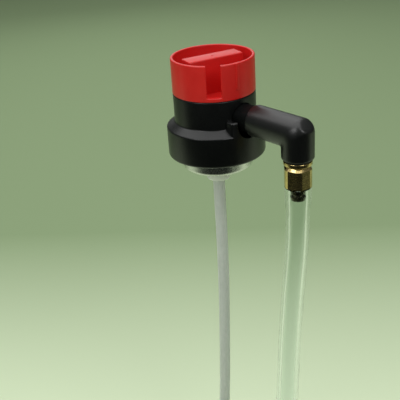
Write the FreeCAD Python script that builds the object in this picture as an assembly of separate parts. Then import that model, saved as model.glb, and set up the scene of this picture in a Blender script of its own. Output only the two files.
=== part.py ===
import FreeCAD, Part
import math
import os

from FreeCAD import Rotation, Vector

# Twist-to-inflate valve for an aerosol can, in millimetres.
# The origin is on the valve's axis, in the plane of the can's opening.
# +Z points up out of the can and +X points along the outlet.

# Crimp-on mounting cup, the standard one-inch kind
CUP_SHEET = 0.4
CUP_SKIRT_R = 12.6
CUP_CURL_WIDTH = 3.4
CUP_CURL_TOP = 3.4
CUP_LIP_Z = 0.6
CUP_FLOOR_Z = -6.6
CUP_HOLE_CLEAR = 0.2
PEDESTAL_R = 5.6
PEDESTAL_TOP = 0.8
PEDESTAL_CRIMP_Z = -3.75
PEDESTAL_CRIMP_DEPTH = 0.6

# Gaskets
SEAT_GAP = 0.05
CUP_GASKET_THICK = 1.05
STEM_GASKET_THICK = 1.0
STEM_FIT = 0.03

# Valve stem
TRAVEL = 2.0
STEM_NECK_R = 2.0
STEM_BORE_R = 0.95
STEM_FLANGE_R = 2.9
STEM_FLANGE_THICK = 2.8
STEM_BOSS_R = 1.4
STEM_BOSS_LENGTH = 2.5
STEM_BULGE_R = 2.4
STEM_BULGE_GAP = 0.4
STEM_BULGE_LENGTH = 1.65
STEM_WAIST_R = 1.75
STEM_WAIST_LENGTH = 1.2
STEM_BARREL_R = 2.3
STEM_BARREL_LENGTH = 4.2
STEM_ORIFICE_R = 0.35

# Valve housing and its spring
HOUSING_SHOULDER_THICK = 1.9
HOUSING_CLEAR = 0.4
HOUSING_BORE_CLEAR = 0.2
HOUSING_DEPTH = 10.3
HOUSING_FLOOR_THICK = 1.0
TAIL_LENGTH = 7.0
TAIL_BORE_R = 1.0
SPRING_WIRE = 0.5
SPRING_COIL_R = 2.4
SPRING_TURNS = 5

# Dip tube. Its route is measured from the housing's underside.
DIP_R = 2.15
DIP_WALL = 0.4
DIP_FIT = 0.03
DIP_ROUTE = ((0, 0, -0.4), (0, 0, -40), (-3.1, 0, -99), (-9.2, 0, -156))

# Black collar that snaps over the cup's curl
WALL = 1.15
SKIRT_CLEAR = 0.15
SKIRT_HANG = 2.1
LEDGE_Z = 9.15
LEDGE_WIDTH = 2.9
LEDGE_RISE = 2.05
BARREL_WALL = 1.2
BEAD_DEPTH = 0.45
DECK_RAISE = 1.6
DECK_THICK = 1.2
GUIDE_CLEAR = 0.1
GUIDE_WALL = 1.2
GUIDE_RISE = 2.3
RIB_COUNT = 8
RIB_THICK = 1.2
RIB_INSET = 0.2
SADDLE_WALL = 2.1
SNAP_LEDGE_DEPTH = 0.9
SNAP_LEDGE_DROP = 2.5
SNAP_LEDGE_THICK = 1.2
STOP_ARC = 5.5

# Red twist knob
KNOB_PROUD = 0.05
KNOB_WALL = 1.0
KNOB_HEIGHT = 12.3
KNOB_GAP = 0.15
KNOB_WEB = 0.9
KNOB_LIP_RISE = 0.65
KNOB_LIP_WIDTH = 1.05
KNOB_SPIGOT_CLEAR = 0.2
KNOB_SPIGOT_DEPTH = 0.9
BLADE_END_GAP = 3.1
BLADE_THICK = 6.2
BLADE_DROP = 0.3
BLADE_SHELL = 1.4
BLADE_ANGLE = 76.2
SLOT_WIDTH = 4.9
SLOT_ANGLE = -41.7
POINTER_WIDTH = 1.1
POINTER_PROUD = 0.35
POINTER_ANGLE = -9.0
POINTER_LENGTH = 8.6
TURN = 90.0

# Snap hooks that hold the knob and the lugs that stop it
HOOK_COUNT = 2
HOOK_ANGLE = 45.0
HOOK_ARC = 16.0
HOOK_WALL = 1.1
HOOK_CLEAR = 0.2
HOOK_BARB = 0.8
HOOK_BARB_THICK = 1.2
STOP_CLEAR = 1.5

# Face cam that pushes the nozzle hub down, clear of the pocket in the blade
CAM_INNER_R = 5.8
CAM_WIDTH = 2.8
CAM_ANGLE = 210.0
CAM_LOBES = 2
CAM_ROOT = 0.35
CAM_GAP = 0.3
CAM_FLOOR_GAP = 0.3
CAM_STEPS = 9
LUG_ARC = 12.0

# Nozzle hub
POST_R = 4.5
POST_LIP = 0.2
SOCKET_CLEAR = 0.03
POST_CHANNEL_R = 1.2
HUB_DISC_LIP = 0.2
HUB_DISC_RISE = 1.5
HUB_DISC_THICK = 1.6
HUB_STOP_GAP = 0.3
SPIGOT_R = 3.6
SPIGOT_DEPTH = 7.5
SPIGOT_BORE_R = 2.0
SEAL_SETBACK = 2.2
SEAL_WIRE_R = 0.43
SEAL_GROOVE_DEPTH = 0.85

# Outlet elbow
OUTLET_R = 5.4
NECK_R = 4.6
NECK_SHOW = 2.5
ARM_ROUND = 0.6
OUTLET_INSET = 0.8
OUTLET_REACH = 38.65
OUTLET_CLEAR = 0.3
OUTLET_FIT = 0.05
ELBOW_DROP = 8.2
ELBOW_FACET = 1.4
ELBOW_ROUND = 0.5
THREAD_DEPTH = 4.8

# Brass hose fitting
FITTING_STUB_R = 3.45
FITTING_SEAL_R = 4.6
FITTING_SEAL_THICK = 0.8
FITTING_FLANGE_R = 4.75
FITTING_FLANGE_THICK = 1.5
FITTING_BORE_R = 1.5
HEX_FLATS = 8.0
HEX_LENGTH = 7.9
HEX_CHAMFER = 0.7
BARB_BITE = 0.15
BARB_RELIEF = 0.3
BARB_LENGTH = 4.4
BARB_RINGS = 2

# Clear hose. Its route is measured from the underside of the fitting's hexagon.
HOSE_R = 4.0
HOSE_WALL = 1.4
HOSE_ROUTE = (
    (0.0, 0.0, 0.0),
    (0.0, 0.0, -17.5),
    (-0.7, -2.3, -40.5),
    (-1.25, -4.0, -65.5),
    (-1.5, -5.2, -89.5),
    (-1.95, -6.9, -115.5),
    (-1.95, -6.9, -136.5),
)
RUN_SHARE = 0.45

# Screw-on chuck at the hose's far end
TYRE_THREAD_R = 3.85
TYRE_THREAD_LENGTH = 5.5
CHUCK_BARB_LENGTH = 8.0
CHUCK_BARB_RINGS = 3
CHUCK_NECK_R = 2.8
CHUCK_NECK_CLEAR = 0.08
CHUCK_FLANGE_CLEAR = 0.1
CHUCK_FLANGE_THICK = 1.6
CHUCK_BORE_R = 1.3
CHUCK_SEAL_THICK = 1.8
PIN_R = 0.65
PIN_PROUD = 1.6
NUT_WALL = 1.55
NUT_GAP = 0.3
NUT_ROOF = 2.5
NUT_PLAY = 0.4
NUT_RELIEF_DEPTH = 0.3
NUT_RELIEF_LENGTH = 6.2
NUT_FLUTES = 16
NUT_FLUTE_R = 0.55

# Soft corners and the reach of cutting tools past a face
EDGE = 0.4
FINE_EDGE = 0.2
PAST = 1.0

# Stem and housing, from the gasket outwards, and the cup's curl
CUP_CURL_R = CUP_SKIRT_R + CUP_CURL_WIDTH
GASKET_TOP = PEDESTAL_TOP - CUP_SHEET - SEAT_GAP
GASKET_UNDER = GASKET_TOP - STEM_GASKET_THICK
HOUSING_TOP = GASKET_UNDER - SEAT_GAP
HOUSING_FLOOR_Z = HOUSING_TOP - HOUSING_DEPTH
HOUSING_BOTTOM = HOUSING_FLOOR_Z - HOUSING_FLOOR_THICK
HOUSING_R = PEDESTAL_R - CUP_SHEET - PEDESTAL_CRIMP_DEPTH - HOUSING_CLEAR
STEM_FLANGE_LOW = HOUSING_TOP - STEM_FLANGE_THICK
STEM_BULGE_LOW = GASKET_TOP + TRAVEL + STEM_BULGE_GAP
STEM_BULGE_HIGH = STEM_BULGE_LOW + STEM_BULGE_LENGTH
STEM_BARREL_LOW = STEM_BULGE_HIGH + STEM_WAIST_LENGTH
STEM_TOP = STEM_BARREL_LOW + STEM_BARREL_LENGTH

# Collar, hub and knob, stacked up from the cup's curl
DECK_LOW = CUP_CURL_TOP + DECK_RAISE
GUIDE_R = POST_R + GUIDE_CLEAR
GUIDE_TOP = DECK_LOW + DECK_THICK + GUIDE_RISE
OUTLET_Z = GUIDE_TOP + HUB_STOP_GAP + TRAVEL + SPIGOT_R
HUB_DISC_LOW = OUTLET_Z + HUB_DISC_RISE
HUB_DISC_TOP = HUB_DISC_LOW + HUB_DISC_THICK
CAM_OUTER_R = CAM_INNER_R + CAM_WIDTH
CAM_TOP = HUB_DISC_TOP + CAM_FLOOR_GAP + TRAVEL
LUG_TOP = CAM_TOP - CAM_GAP
KNOB_UNDER = CAM_TOP + CAM_ROOT
KNOB_FLOOR = KNOB_UNDER + KNOB_WEB
BARREL_TOP = KNOB_UNDER + KNOB_SPIGOT_DEPTH
KNOB_BOTTOM = BARREL_TOP + KNOB_GAP
KNOB_LIP_Z = KNOB_BOTTOM + KNOB_LIP_RISE
KNOB_TOP = KNOB_BOTTOM + KNOB_HEIGHT
SNAP_LEDGE_TOP = BARREL_TOP - SNAP_LEDGE_DROP + SNAP_LEDGE_THICK
SNAP_LEDGE_LOW = BARREL_TOP - SNAP_LEDGE_DROP
HOOK_BARB_TOP = SNAP_LEDGE_LOW - HOOK_CLEAR
HOOK_TIP = HOOK_BARB_TOP - HOOK_BARB_THICK

# Collar, hub and knob, outwards from the axis
SKIRT_BORE_R = CUP_CURL_R + SKIRT_CLEAR
SKIRT_R = SKIRT_BORE_R + WALL
SKIRT_BOTTOM = CUP_LIP_Z - SKIRT_HANG
BARREL_R = SKIRT_R - LEDGE_WIDTH
BARREL_BORE_R = BARREL_R - BARREL_WALL
BARREL_FOOT_Z = LEDGE_Z + LEDGE_RISE
KNOB_R = BARREL_R + KNOB_PROUD
KNOB_BORE_R = KNOB_R - KNOB_WALL
KNOB_SPIGOT_R = BARREL_BORE_R - KNOB_SPIGOT_CLEAR
BLADE_LENGTH = 2 * (KNOB_BORE_R - BLADE_END_GAP)
SNAP_LEDGE_R = BARREL_BORE_R - SNAP_LEDGE_DEPTH
HOOK_R = SNAP_LEDGE_R - HOOK_CLEAR
OUTLET_START = SNAP_LEDGE_R - OUTLET_INSET
ARM_START = SKIRT_R + NECK_SHOW
WINDOW_R = NECK_R + OUTLET_CLEAR
SPIGOT_END = OUTLET_START + SPIGOT_DEPTH
SEAL_X = SPIGOT_END - SEAL_SETBACK

# Fitting, hose and chuck, down from the elbow
ELBOW_BOTTOM = OUTLET_Z - ELBOW_DROP
FLANGE_TOP = ELBOW_BOTTOM - FITTING_SEAL_THICK
HEX_TOP = FLANGE_TOP - FITTING_FLANGE_THICK
HEX_BOTTOM = HEX_TOP - HEX_LENGTH
HOSE_BORE_R = HOSE_R - HOSE_WALL
BARB_R = HOSE_BORE_R + BARB_BITE
BARB_ROOT_R = HOSE_BORE_R - BARB_RELIEF
HOSE_START = (OUTLET_REACH, 0, HEX_BOTTOM)
CHUCK_PLACE = [start + offset for start, offset in zip(HOSE_START, HOSE_ROUTE[-1])]
CHUCK_NECK_LENGTH = NUT_GAP + NUT_ROOF + NUT_PLAY
CHUCK_FLANGE_R = TYRE_THREAD_R - CHUCK_FLANGE_CLEAR
NUT_RELIEF_R = TYRE_THREAD_R + NUT_RELIEF_DEPTH
NUT_R = NUT_RELIEF_R + NUT_WALL


def cylinder(radius, low, high, x=0.0, y=0.0):
    """A round bar along Z."""
    return Part.makeCylinder(radius, high - low, Vector(x, y, low))


def bar_along_x(radius, start, end, z):
    """A round bar along X at height z."""
    return Part.makeCylinder(radius, end - start, Vector(start, 0, z), Vector(1, 0, 0))


def block(x_span, y_span, z_span):
    """A box between two corners, each span a (low, high) pair."""
    size = [span[1] - span[0] for span in (x_span, y_span, z_span)]
    return Part.makeBox(*size, Vector(x_span[0], y_span[0], z_span[0]))


def turn_z(shape, angle):
    """The shape turned about the Z axis."""
    turned_copy = shape.copy()
    turned_copy.rotate(Vector(0, 0, 0), Vector(0, 0, 1), angle)
    return turned_copy


def joined(shapes):
    """One solid fused from several."""
    whole = shapes[0]
    for shape in shapes[1:]:
        whole = whole.fuse(shape)
    return whole.removeSplitter()


def rounded_wire(corners):
    """A closed outline in the XZ plane. A corner is (r, z) or (r, z, rounding)."""
    count = len(corners)
    points = [Vector(corner[0], 0, corner[1]) for corner in corners]
    spans = []
    for i, corner in enumerate(corners):
        rounding = corner[2] if len(corner) > 2 else 0
        here = points[i]
        if not rounding:
            spans.append((here, None, here))
            continue
        back = (points[i - 1] - here).normalize()
        ahead = (points[(i + 1) % count] - here).normalize()
        half = back.getAngle(ahead) / 2
        reach = rounding / math.tan(half)
        inward = (back + ahead).normalize()
        middle = here + inward * (rounding / math.sin(half) - rounding)
        spans.append((here + back * reach, middle, here + ahead * reach))
    edges = []
    for i, (first, middle, last) in enumerate(spans):
        if middle is not None:
            edges.append(Part.Arc(first, middle, last).toShape())
        following = spans[(i + 1) % count][0]
        if last.distanceToPoint(following) > 1e-5:
            edges.append(Part.LineSegment(last, following).toShape())
    return Part.Wire(edges)


def turned(corners, start=0.0, sweep=360.0):
    """A solid turned about Z from an outline of (r, z) corners."""
    solid = Part.Face(rounded_wire(corners)).revolve(Vector(0, 0, 0), Vector(0, 0, 1), sweep)
    return turn_z(solid, start)


def sheet_outline(line, thickness):
    """The closed outline of bent sheet metal from its middle line of (r, z, bend) corners."""
    half = thickness / 2
    left, right = [], []
    for i, (r, z, bend) in enumerate(line):
        here = Vector(r, 0, z)
        before = (here - Vector(line[i - 1][0], 0, line[i - 1][1])).normalize() if i else None
        after = None
        if i + 1 < len(line):
            after = (Vector(line[i + 1][0], 0, line[i + 1][1]) - here).normalize()
        before = before or after
        after = after or before
        normal_before = Vector(-before.z, 0, before.x)
        normal_after = Vector(-after.z, 0, after.x)
        mitre = (normal_before + normal_after).normalize()
        reach = half / mitre.dot(normal_after)
        turn = normal_before.dot(after)
        left_bend = bend - half if turn > 0 else bend + half
        right_bend = bend + half if turn > 0 else bend - half
        if not bend:
            left_bend = right_bend = 0
        left.append((r + mitre.x * reach, z + mitre.z * reach, left_bend))
        right.append((r - mitre.x * reach, z - mitre.z * reach, right_bend))
    return left + right[::-1]


def route_from(start, offsets):
    """The points of a route that is measured from its start."""
    return [Vector(*start) + Vector(*offset) for offset in offsets]


def route_wire(points, name):
    """Straight runs joined by tangent arcs as large as the runs allow. It prints the radii."""
    edges, radii = [], []
    at = points[0]
    for before, here, after in zip(points, points[1:], points[2:]):
        back = (before - here).normalize()
        ahead = (after - here).normalize()
        reach = RUN_SHARE * min(before.distanceToPoint(here), here.distanceToPoint(after))
        half_turn = (math.pi - back.getAngle(ahead)) / 2
        radius = reach / math.tan(half_turn)
        radii.append(round(radius))
        half = back.getAngle(ahead) / 2
        middle = here + (back + ahead).normalize() * (radius / math.sin(half) - radius)
        edges.append(Part.LineSegment(at, here + back * reach).toShape())
        edges.append(Part.Arc(here + back * reach, middle, here + ahead * reach).toShape())
        at = here + ahead * reach
    edges.append(Part.LineSegment(at, points[-1]).toShape())
    print(name, "arc radii, mm:", radii)
    return Part.Wire(edges)


def swept_bar(route, radius, name):
    """A round bar along a route."""
    path = route_wire(route, name)
    section = Part.Wire(Part.makeCircle(radius, route[0], route[1] - route[0]))
    return path.makePipeShell([section], True, False), path.Length


def swept_tube(route, radius, bore, name):
    """A tube along a route. It prints the volume beside section times length."""
    outer, length = swept_bar(route, radius, name + " outside")
    inner, _ = swept_bar(route, bore, name + " bore")
    tube = outer.cut(inner)
    expected = math.pi * (radius**2 - bore**2) * length
    print(name, "length %.1f, volume %.1f, expected %.1f" % (length, tube.Volume, expected))
    return tube


def mounting_cup():
    """The tinplate cup: curl over the can's opening, skirt, well and stem pedestal."""
    half = CUP_SHEET / 2
    lip = CUP_CURL_R - half
    skirt = CUP_SKIRT_R - half
    curl_bend = (lip - skirt) / 2
    pedestal = PEDESTAL_R - half
    crimp_half = PEDESTAL_CRIMP_DEPTH + CUP_SHEET / 2
    line = [
        (lip, CUP_LIP_Z, 0),
        (lip, CUP_CURL_TOP - half, curl_bend),
        (skirt, CUP_CURL_TOP - half, curl_bend),
        (skirt, CUP_FLOOR_Z + half, 1.2),
        (pedestal, CUP_FLOOR_Z + half, 0.7),
        (pedestal, PEDESTAL_CRIMP_Z - crimp_half, 0.4),
        (pedestal - PEDESTAL_CRIMP_DEPTH, PEDESTAL_CRIMP_Z, 0.4),
        (pedestal, PEDESTAL_CRIMP_Z + crimp_half, 0.4),
        (pedestal, PEDESTAL_TOP - half, 0.8),
        (STEM_BULGE_R + CUP_HOLE_CLEAR, PEDESTAL_TOP - half, 0),
    ]
    return turned(sheet_outline(line, CUP_SHEET))


def cup_gasket():
    """The seal lying under the roof of the curl."""
    middle = (CUP_CURL_R + CUP_SKIRT_R - CUP_SHEET) / 2
    roof = (CUP_CURL_R - CUP_SKIRT_R - CUP_SHEET) / 2
    centre_z = CUP_CURL_TOP - CUP_SHEET - roof
    radius = roof - SEAT_GAP
    low = centre_z + radius - CUP_GASKET_THICK
    half = math.sqrt(radius**2 - (low - centre_z) ** 2)
    left, right = Vector(middle - half, 0, low), Vector(middle + half, 0, low)
    top = Vector(middle, 0, centre_z + radius)
    outline = Part.Wire([Part.Arc(left, top, right).toShape(), Part.LineSegment(right, left).toShape()])
    return Part.Face(outline).revolve(Vector(0, 0, 0), Vector(0, 0, 1), 360)


def stem_gasket():
    """The flat rubber washer that the stem slides through."""
    outer = PEDESTAL_R - CUP_SHEET - 4 * SEAT_GAP
    inner = STEM_NECK_R + STEM_FIT
    return turned([
        (inner, GASKET_UNDER),
        (outer, GASKET_UNDER),
        (outer, GASKET_TOP, FINE_EDGE),
        (inner, GASKET_TOP),
    ])


def valve_stem():
    """The moulded stem: spring boss, sealing flange, neck, bulge, waist and nozzle barrel."""
    boss_low = STEM_FLANGE_LOW - STEM_BOSS_LENGTH
    orifice_z = (GASKET_UNDER + GASKET_TOP) / 2
    bore_low = orifice_z - STEM_ORIFICE_R
    solid = turned([
        (0, boss_low),
        (STEM_BOSS_R, boss_low, FINE_EDGE),
        (STEM_BOSS_R, STEM_FLANGE_LOW),
        (STEM_FLANGE_R, STEM_FLANGE_LOW, EDGE),
        (STEM_FLANGE_R, HOUSING_TOP, FINE_EDGE),
        (STEM_NECK_R, HOUSING_TOP),
        (STEM_NECK_R, STEM_BULGE_LOW),
        (STEM_BULGE_R, STEM_BULGE_LOW, FINE_EDGE),
        (STEM_BULGE_R, STEM_BULGE_HIGH, FINE_EDGE),
        (STEM_WAIST_R, STEM_BULGE_HIGH + EDGE, EDGE),
        (STEM_WAIST_R, STEM_BARREL_LOW - EDGE, EDGE),
        (STEM_BARREL_R, STEM_BARREL_LOW, FINE_EDGE),
        (STEM_BARREL_R, STEM_TOP, EDGE),
        (STEM_BORE_R, STEM_TOP),
        (STEM_BORE_R, bore_low),
        (0, bore_low),
    ])
    orifice = bar_along_x(STEM_ORIFICE_R, -STEM_NECK_R - PAST, STEM_NECK_R + PAST, orifice_z)
    return solid.cut(orifice)


def valve_spring():
    """The return spring between the housing's floor and the stem's flange."""
    wire_r = SPRING_WIRE / 2
    low = HOUSING_FLOOR_Z + SEAT_GAP + wire_r
    height = STEM_FLANGE_LOW - SEAT_GAP - wire_r - low
    helix = Part.makeHelix(height / SPRING_TURNS, height, SPRING_COIL_R)
    helix.translate(Vector(0, 0, low))
    slope = Vector(0, 2 * math.pi * SPRING_COIL_R, height / SPRING_TURNS)
    section = Part.Wire(Part.makeCircle(wire_r, Vector(SPRING_COIL_R, 0, low), slope))
    return Part.Wire(helix).makePipeShell([section], True, True)


def valve_housing():
    """The cup that holds stem and spring, with the tail that the dip tube slides over."""
    bore = STEM_FLANGE_R + HOUSING_BORE_CLEAR
    tail_r = DIP_R - DIP_WALL - DIP_FIT
    tail_low = HOUSING_BOTTOM - TAIL_LENGTH
    shoulder_r = PEDESTAL_R - CUP_SHEET - 2 * SEAT_GAP
    shoulder_low = HOUSING_TOP - HOUSING_SHOULDER_THICK
    return turned([
        (bore, HOUSING_TOP),
        (bore, HOUSING_FLOOR_Z),
        (TAIL_BORE_R, HOUSING_FLOOR_Z),
        (TAIL_BORE_R, tail_low),
        (tail_r, tail_low, EDGE),
        (tail_r, HOUSING_BOTTOM),
        (HOUSING_R, HOUSING_BOTTOM, EDGE),
        (HOUSING_R, shoulder_low),
        (shoulder_r, shoulder_low, EDGE),
        (shoulder_r, HOUSING_TOP, FINE_EDGE),
    ])


def dip_tube():
    """The tube that reaches down to the can's bottom, bowed a little."""
    route = route_from((0, 0, HOUSING_BOTTOM), DIP_ROUTE)
    return swept_tube(route, DIP_R, DIP_R - DIP_WALL, "dip tube")


def outlet_window():
    """The upright slot in which the outlet slides down."""
    start, end = OUTLET_START, SKIRT_R + PAST
    upper = bar_along_x(WINDOW_R, start, end, OUTLET_Z)
    lower = bar_along_x(WINDOW_R, start, end, OUTLET_Z - TRAVEL)
    middle = block((start, end), (-WINDOW_R, WINDOW_R), (OUTLET_Z - TRAVEL, OUTLET_Z))
    return joined([upper, middle, lower])


def outlet_saddle():
    """The boxed-out wall that hugs the outlet's lower half, flush with the skirt."""
    half = WINDOW_R + SADDLE_WALL
    top = OUTLET_Z - FINE_EDGE
    box = block((0, SKIRT_R + PAST), (-half, half), (LEDGE_Z, top))
    saddle = box.common(cylinder(SKIRT_R, LEDGE_Z - PAST, OUTLET_Z + PAST))
    boxes = [(edge, edge.BoundBox) for edge in saddle.Edges]
    rim = [edge for edge, box in boxes if box.ZMax > top - FINE_EDGE and box.XMax > SKIRT_R / 2]
    saddle = saddle.makeFillet(2 * EDGE, rim)
    return saddle.cut(cylinder(BARREL_BORE_R, LEDGE_Z - PAST, OUTLET_Z + PAST))


def collar_shell():
    """The turned wall of the collar: skirt, sloped ledge, barrel, snap bead and snap ledge."""
    slope = Vector(BARREL_R - SKIRT_R, 0, BARREL_FOOT_Z - LEDGE_Z).normalize()
    inward = Vector(-slope.z, 0, slope.x)
    base = Vector(SKIRT_R, 0, LEDGE_Z) + inward * WALL
    rise = slope.z / slope.x
    inner_low = base.z + (SKIRT_BORE_R - base.x) * rise
    inner_high = base.z + (BARREL_BORE_R - base.x) * rise
    bead_r = SKIRT_BORE_R - BEAD_DEPTH
    return turned([
        (SKIRT_R, SKIRT_BOTTOM, 2 * EDGE),
        (SKIRT_R, LEDGE_Z, 2 * EDGE),
        (BARREL_R, BARREL_FOOT_Z, 2 * EDGE),
        (BARREL_R, BARREL_TOP, FINE_EDGE),
        (BARREL_BORE_R, BARREL_TOP),
        (BARREL_BORE_R, SNAP_LEDGE_TOP),
        (SNAP_LEDGE_R, SNAP_LEDGE_TOP - EDGE),
        (SNAP_LEDGE_R, SNAP_LEDGE_LOW),
        (BARREL_BORE_R, SNAP_LEDGE_LOW),
        (BARREL_BORE_R, inner_high),
        (SKIRT_BORE_R, inner_low),
        (SKIRT_BORE_R, CUP_LIP_Z - BEAD_DEPTH),
        (bead_r, CUP_LIP_Z - 2 * BEAD_DEPTH),
        (bead_r, SKIRT_BOTTOM + BEAD_DEPTH),
        (SKIRT_BORE_R, SKIRT_BOTTOM),
    ])


def collar_deck():
    """The deck across the collar, with the hub's guide tube and the ribs that sit on the curl."""
    top = DECK_LOW + DECK_THICK
    wall_r = SKIRT_BORE_R + WALL / 2
    guide_r = GUIDE_R + GUIDE_WALL
    deck = turned([
        (GUIDE_R, DECK_LOW),
        (wall_r, DECK_LOW),
        (wall_r, top),
        (guide_r, top, EDGE),
        (guide_r, GUIDE_TOP, FINE_EDGE),
        (GUIDE_R, GUIDE_TOP),
    ])
    span = (CUP_SKIRT_R + RIB_INSET, wall_r)
    rib = block(span, (-RIB_THICK / 2, RIB_THICK / 2), (CUP_CURL_TOP + SEAT_GAP, top))
    step = 360 / RIB_COUNT
    ribs = [turn_z(rib, (i + 0.5) * step) for i in range(RIB_COUNT)]
    return joined([deck] + ribs)


def stop_lugs():
    """The lugs on the barrel's bore that the knob's hooks meet at each end of the turn."""
    root_r = BARREL_BORE_R + BARREL_WALL / 2
    root_z = SNAP_LEDGE_LOW + SNAP_LEDGE_THICK / 2
    corners = [(SNAP_LEDGE_R, HOOK_TIP), (root_r, HOOK_TIP), (root_r, root_z), (SNAP_LEDGE_R, root_z)]
    before = HOOK_ANGLE - HOOK_ARC / 2 - STOP_CLEAR - STOP_ARC
    after = HOOK_ANGLE + HOOK_ARC / 2 + STOP_CLEAR + TURN
    starts = [360 / HOOK_COUNT * i + edge for i in range(HOOK_COUNT) for edge in (before, after)]
    return [turned(corners, start, STOP_ARC) for start in starts]


def collar_body():
    """The black collar."""
    shell = joined([collar_shell(), outlet_saddle(), collar_deck()] + stop_lugs())
    sides = (-WINDOW_R, WINDOW_R)
    ledge_gap = block((OUTLET_START, BARREL_BORE_R), sides, (SNAP_LEDGE_LOW, SNAP_LEDGE_TOP))
    ledge_gap = ledge_gap.common(cylinder(BARREL_BORE_R, SNAP_LEDGE_LOW, SNAP_LEDGE_TOP))
    return shell.cut(outlet_window()).cut(ledge_gap).removeSplitter()


def cam_surface(angle):
    """The height of the cam's face, by angle from its high point."""
    fallen = min(max(-angle, 0), TURN)
    return CAM_TOP - TRAVEL * fallen / TURN


def cam_lobe():
    """One helical ramp under the knob's floor, lofted through radial sections."""
    half = LUG_ARC / 2
    angles = [half] + [-TURN * i / CAM_STEPS for i in range(CAM_STEPS + 1)] + [-TURN - half]
    roof = KNOB_UNDER + KNOB_GAP
    sections = []
    for angle in angles:
        low = cam_surface(angle)
        corners = [(CAM_INNER_R, low), (CAM_OUTER_R, low), (CAM_OUTER_R, roof), (CAM_INNER_R, roof)]
        section = rounded_wire(corners)
        section.rotate(Vector(0, 0, 0), Vector(0, 0, 1), CAM_ANGLE + angle)
        sections.append(section)
    return Part.makeLoft(sections, True, True)


def snap_hook():
    """One arm with a barb that clicks under the collar's snap ledge."""
    inner = HOOK_R - HOOK_WALL
    tip_r = HOOK_R + HOOK_BARB
    roof = KNOB_UNDER + KNOB_GAP
    corners = [
        (inner, HOOK_TIP),
        (HOOK_R, HOOK_TIP),
        (tip_r, HOOK_TIP + HOOK_BARB),
        (tip_r, HOOK_BARB_TOP),
        (HOOK_R, HOOK_BARB_TOP),
        (HOOK_R, roof),
        (inner, roof),
    ]
    return turned(corners, HOOK_ANGLE - HOOK_ARC / 2, HOOK_ARC)


def finger_blade():
    """The bar that is gripped to turn the knob."""
    top = KNOB_TOP - BLADE_DROP
    half_l, half_t = BLADE_LENGTH / 2, BLADE_THICK / 2
    blade = block((-half_l, half_l), (-half_t, half_t), (KNOB_FLOOR - PAST / 2, top))
    upright = [edge for edge in blade.Edges if abs(edge.tangentAt(edge.FirstParameter).z) > 0.9]
    blade = blade.makeFillet(2 * EDGE, upright)
    rim = [edge for edge in blade.Edges if edge.BoundBox.ZMin > top - FINE_EDGE]
    return turn_z(blade.makeFillet(EDGE, rim), BLADE_ANGLE)


def blade_core():
    """The pocket moulded up into the blade from below."""
    half_l, half_t = BLADE_LENGTH / 2 - BLADE_SHELL, BLADE_THICK / 2 - BLADE_SHELL
    top = KNOB_TOP - BLADE_DROP - BLADE_SHELL
    return turn_z(block((-half_l, half_l), (-half_t, half_t), (KNOB_UNDER - PAST, top)), BLADE_ANGLE)


def twist_knob():
    """The red knob: open cup, finger blade, slot, pointer rib, cam ramps and snap hooks."""
    lip_r = KNOB_BORE_R - KNOB_LIP_WIDTH
    cup = turned([
        (0, KNOB_UNDER),
        (KNOB_SPIGOT_R, KNOB_UNDER, FINE_EDGE),
        (KNOB_SPIGOT_R, KNOB_BOTTOM),
        (KNOB_R, KNOB_BOTTOM, FINE_EDGE),
        (KNOB_R, KNOB_TOP, EDGE),
        (KNOB_BORE_R, KNOB_TOP, FINE_EDGE),
        (KNOB_BORE_R, KNOB_LIP_Z),
        (lip_r, KNOB_LIP_Z, FINE_EDGE),
        (lip_r, KNOB_FLOOR, FINE_EDGE),
        (0, KNOB_FLOOR),
    ])
    slot_span = (KNOB_BORE_R - PAST, KNOB_R + PAST)
    slot = block(slot_span, (-SLOT_WIDTH / 2, SLOT_WIDTH / 2), (KNOB_LIP_Z, KNOB_TOP + PAST))
    pointer_span = (KNOB_R - KNOB_WALL / 2, KNOB_R + POINTER_PROUD)
    pointer_rise = (KNOB_TOP - EDGE - POINTER_LENGTH, KNOB_TOP - EDGE)
    pointer = block(pointer_span, (-POINTER_WIDTH / 2, POINTER_WIDTH / 2), pointer_rise)
    hooks = [turn_z(snap_hook(), 360 / HOOK_COUNT * i) for i in range(HOOK_COUNT)]
    lobes = [turn_z(cam_lobe(), 360 / CAM_LOBES * i) for i in range(CAM_LOBES)]
    cup = cup.cut(turn_z(slot, SLOT_ANGLE))
    whole = joined([cup, finger_blade(), turn_z(pointer, POINTER_ANGLE)] + hooks + lobes)
    return whole.cut(blade_core())


def hub_lug():
    """One follower lug on the hub's disc, under a cam ramp."""
    base = HUB_DISC_LOW + HUB_DISC_THICK / 2
    corners = [(CAM_INNER_R, base), (CAM_OUTER_R, base), (CAM_OUTER_R, LUG_TOP), (CAM_INNER_R, LUG_TOP)]
    return turned(corners, CAM_ANGLE - LUG_ARC / 2, LUG_ARC)


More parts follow.
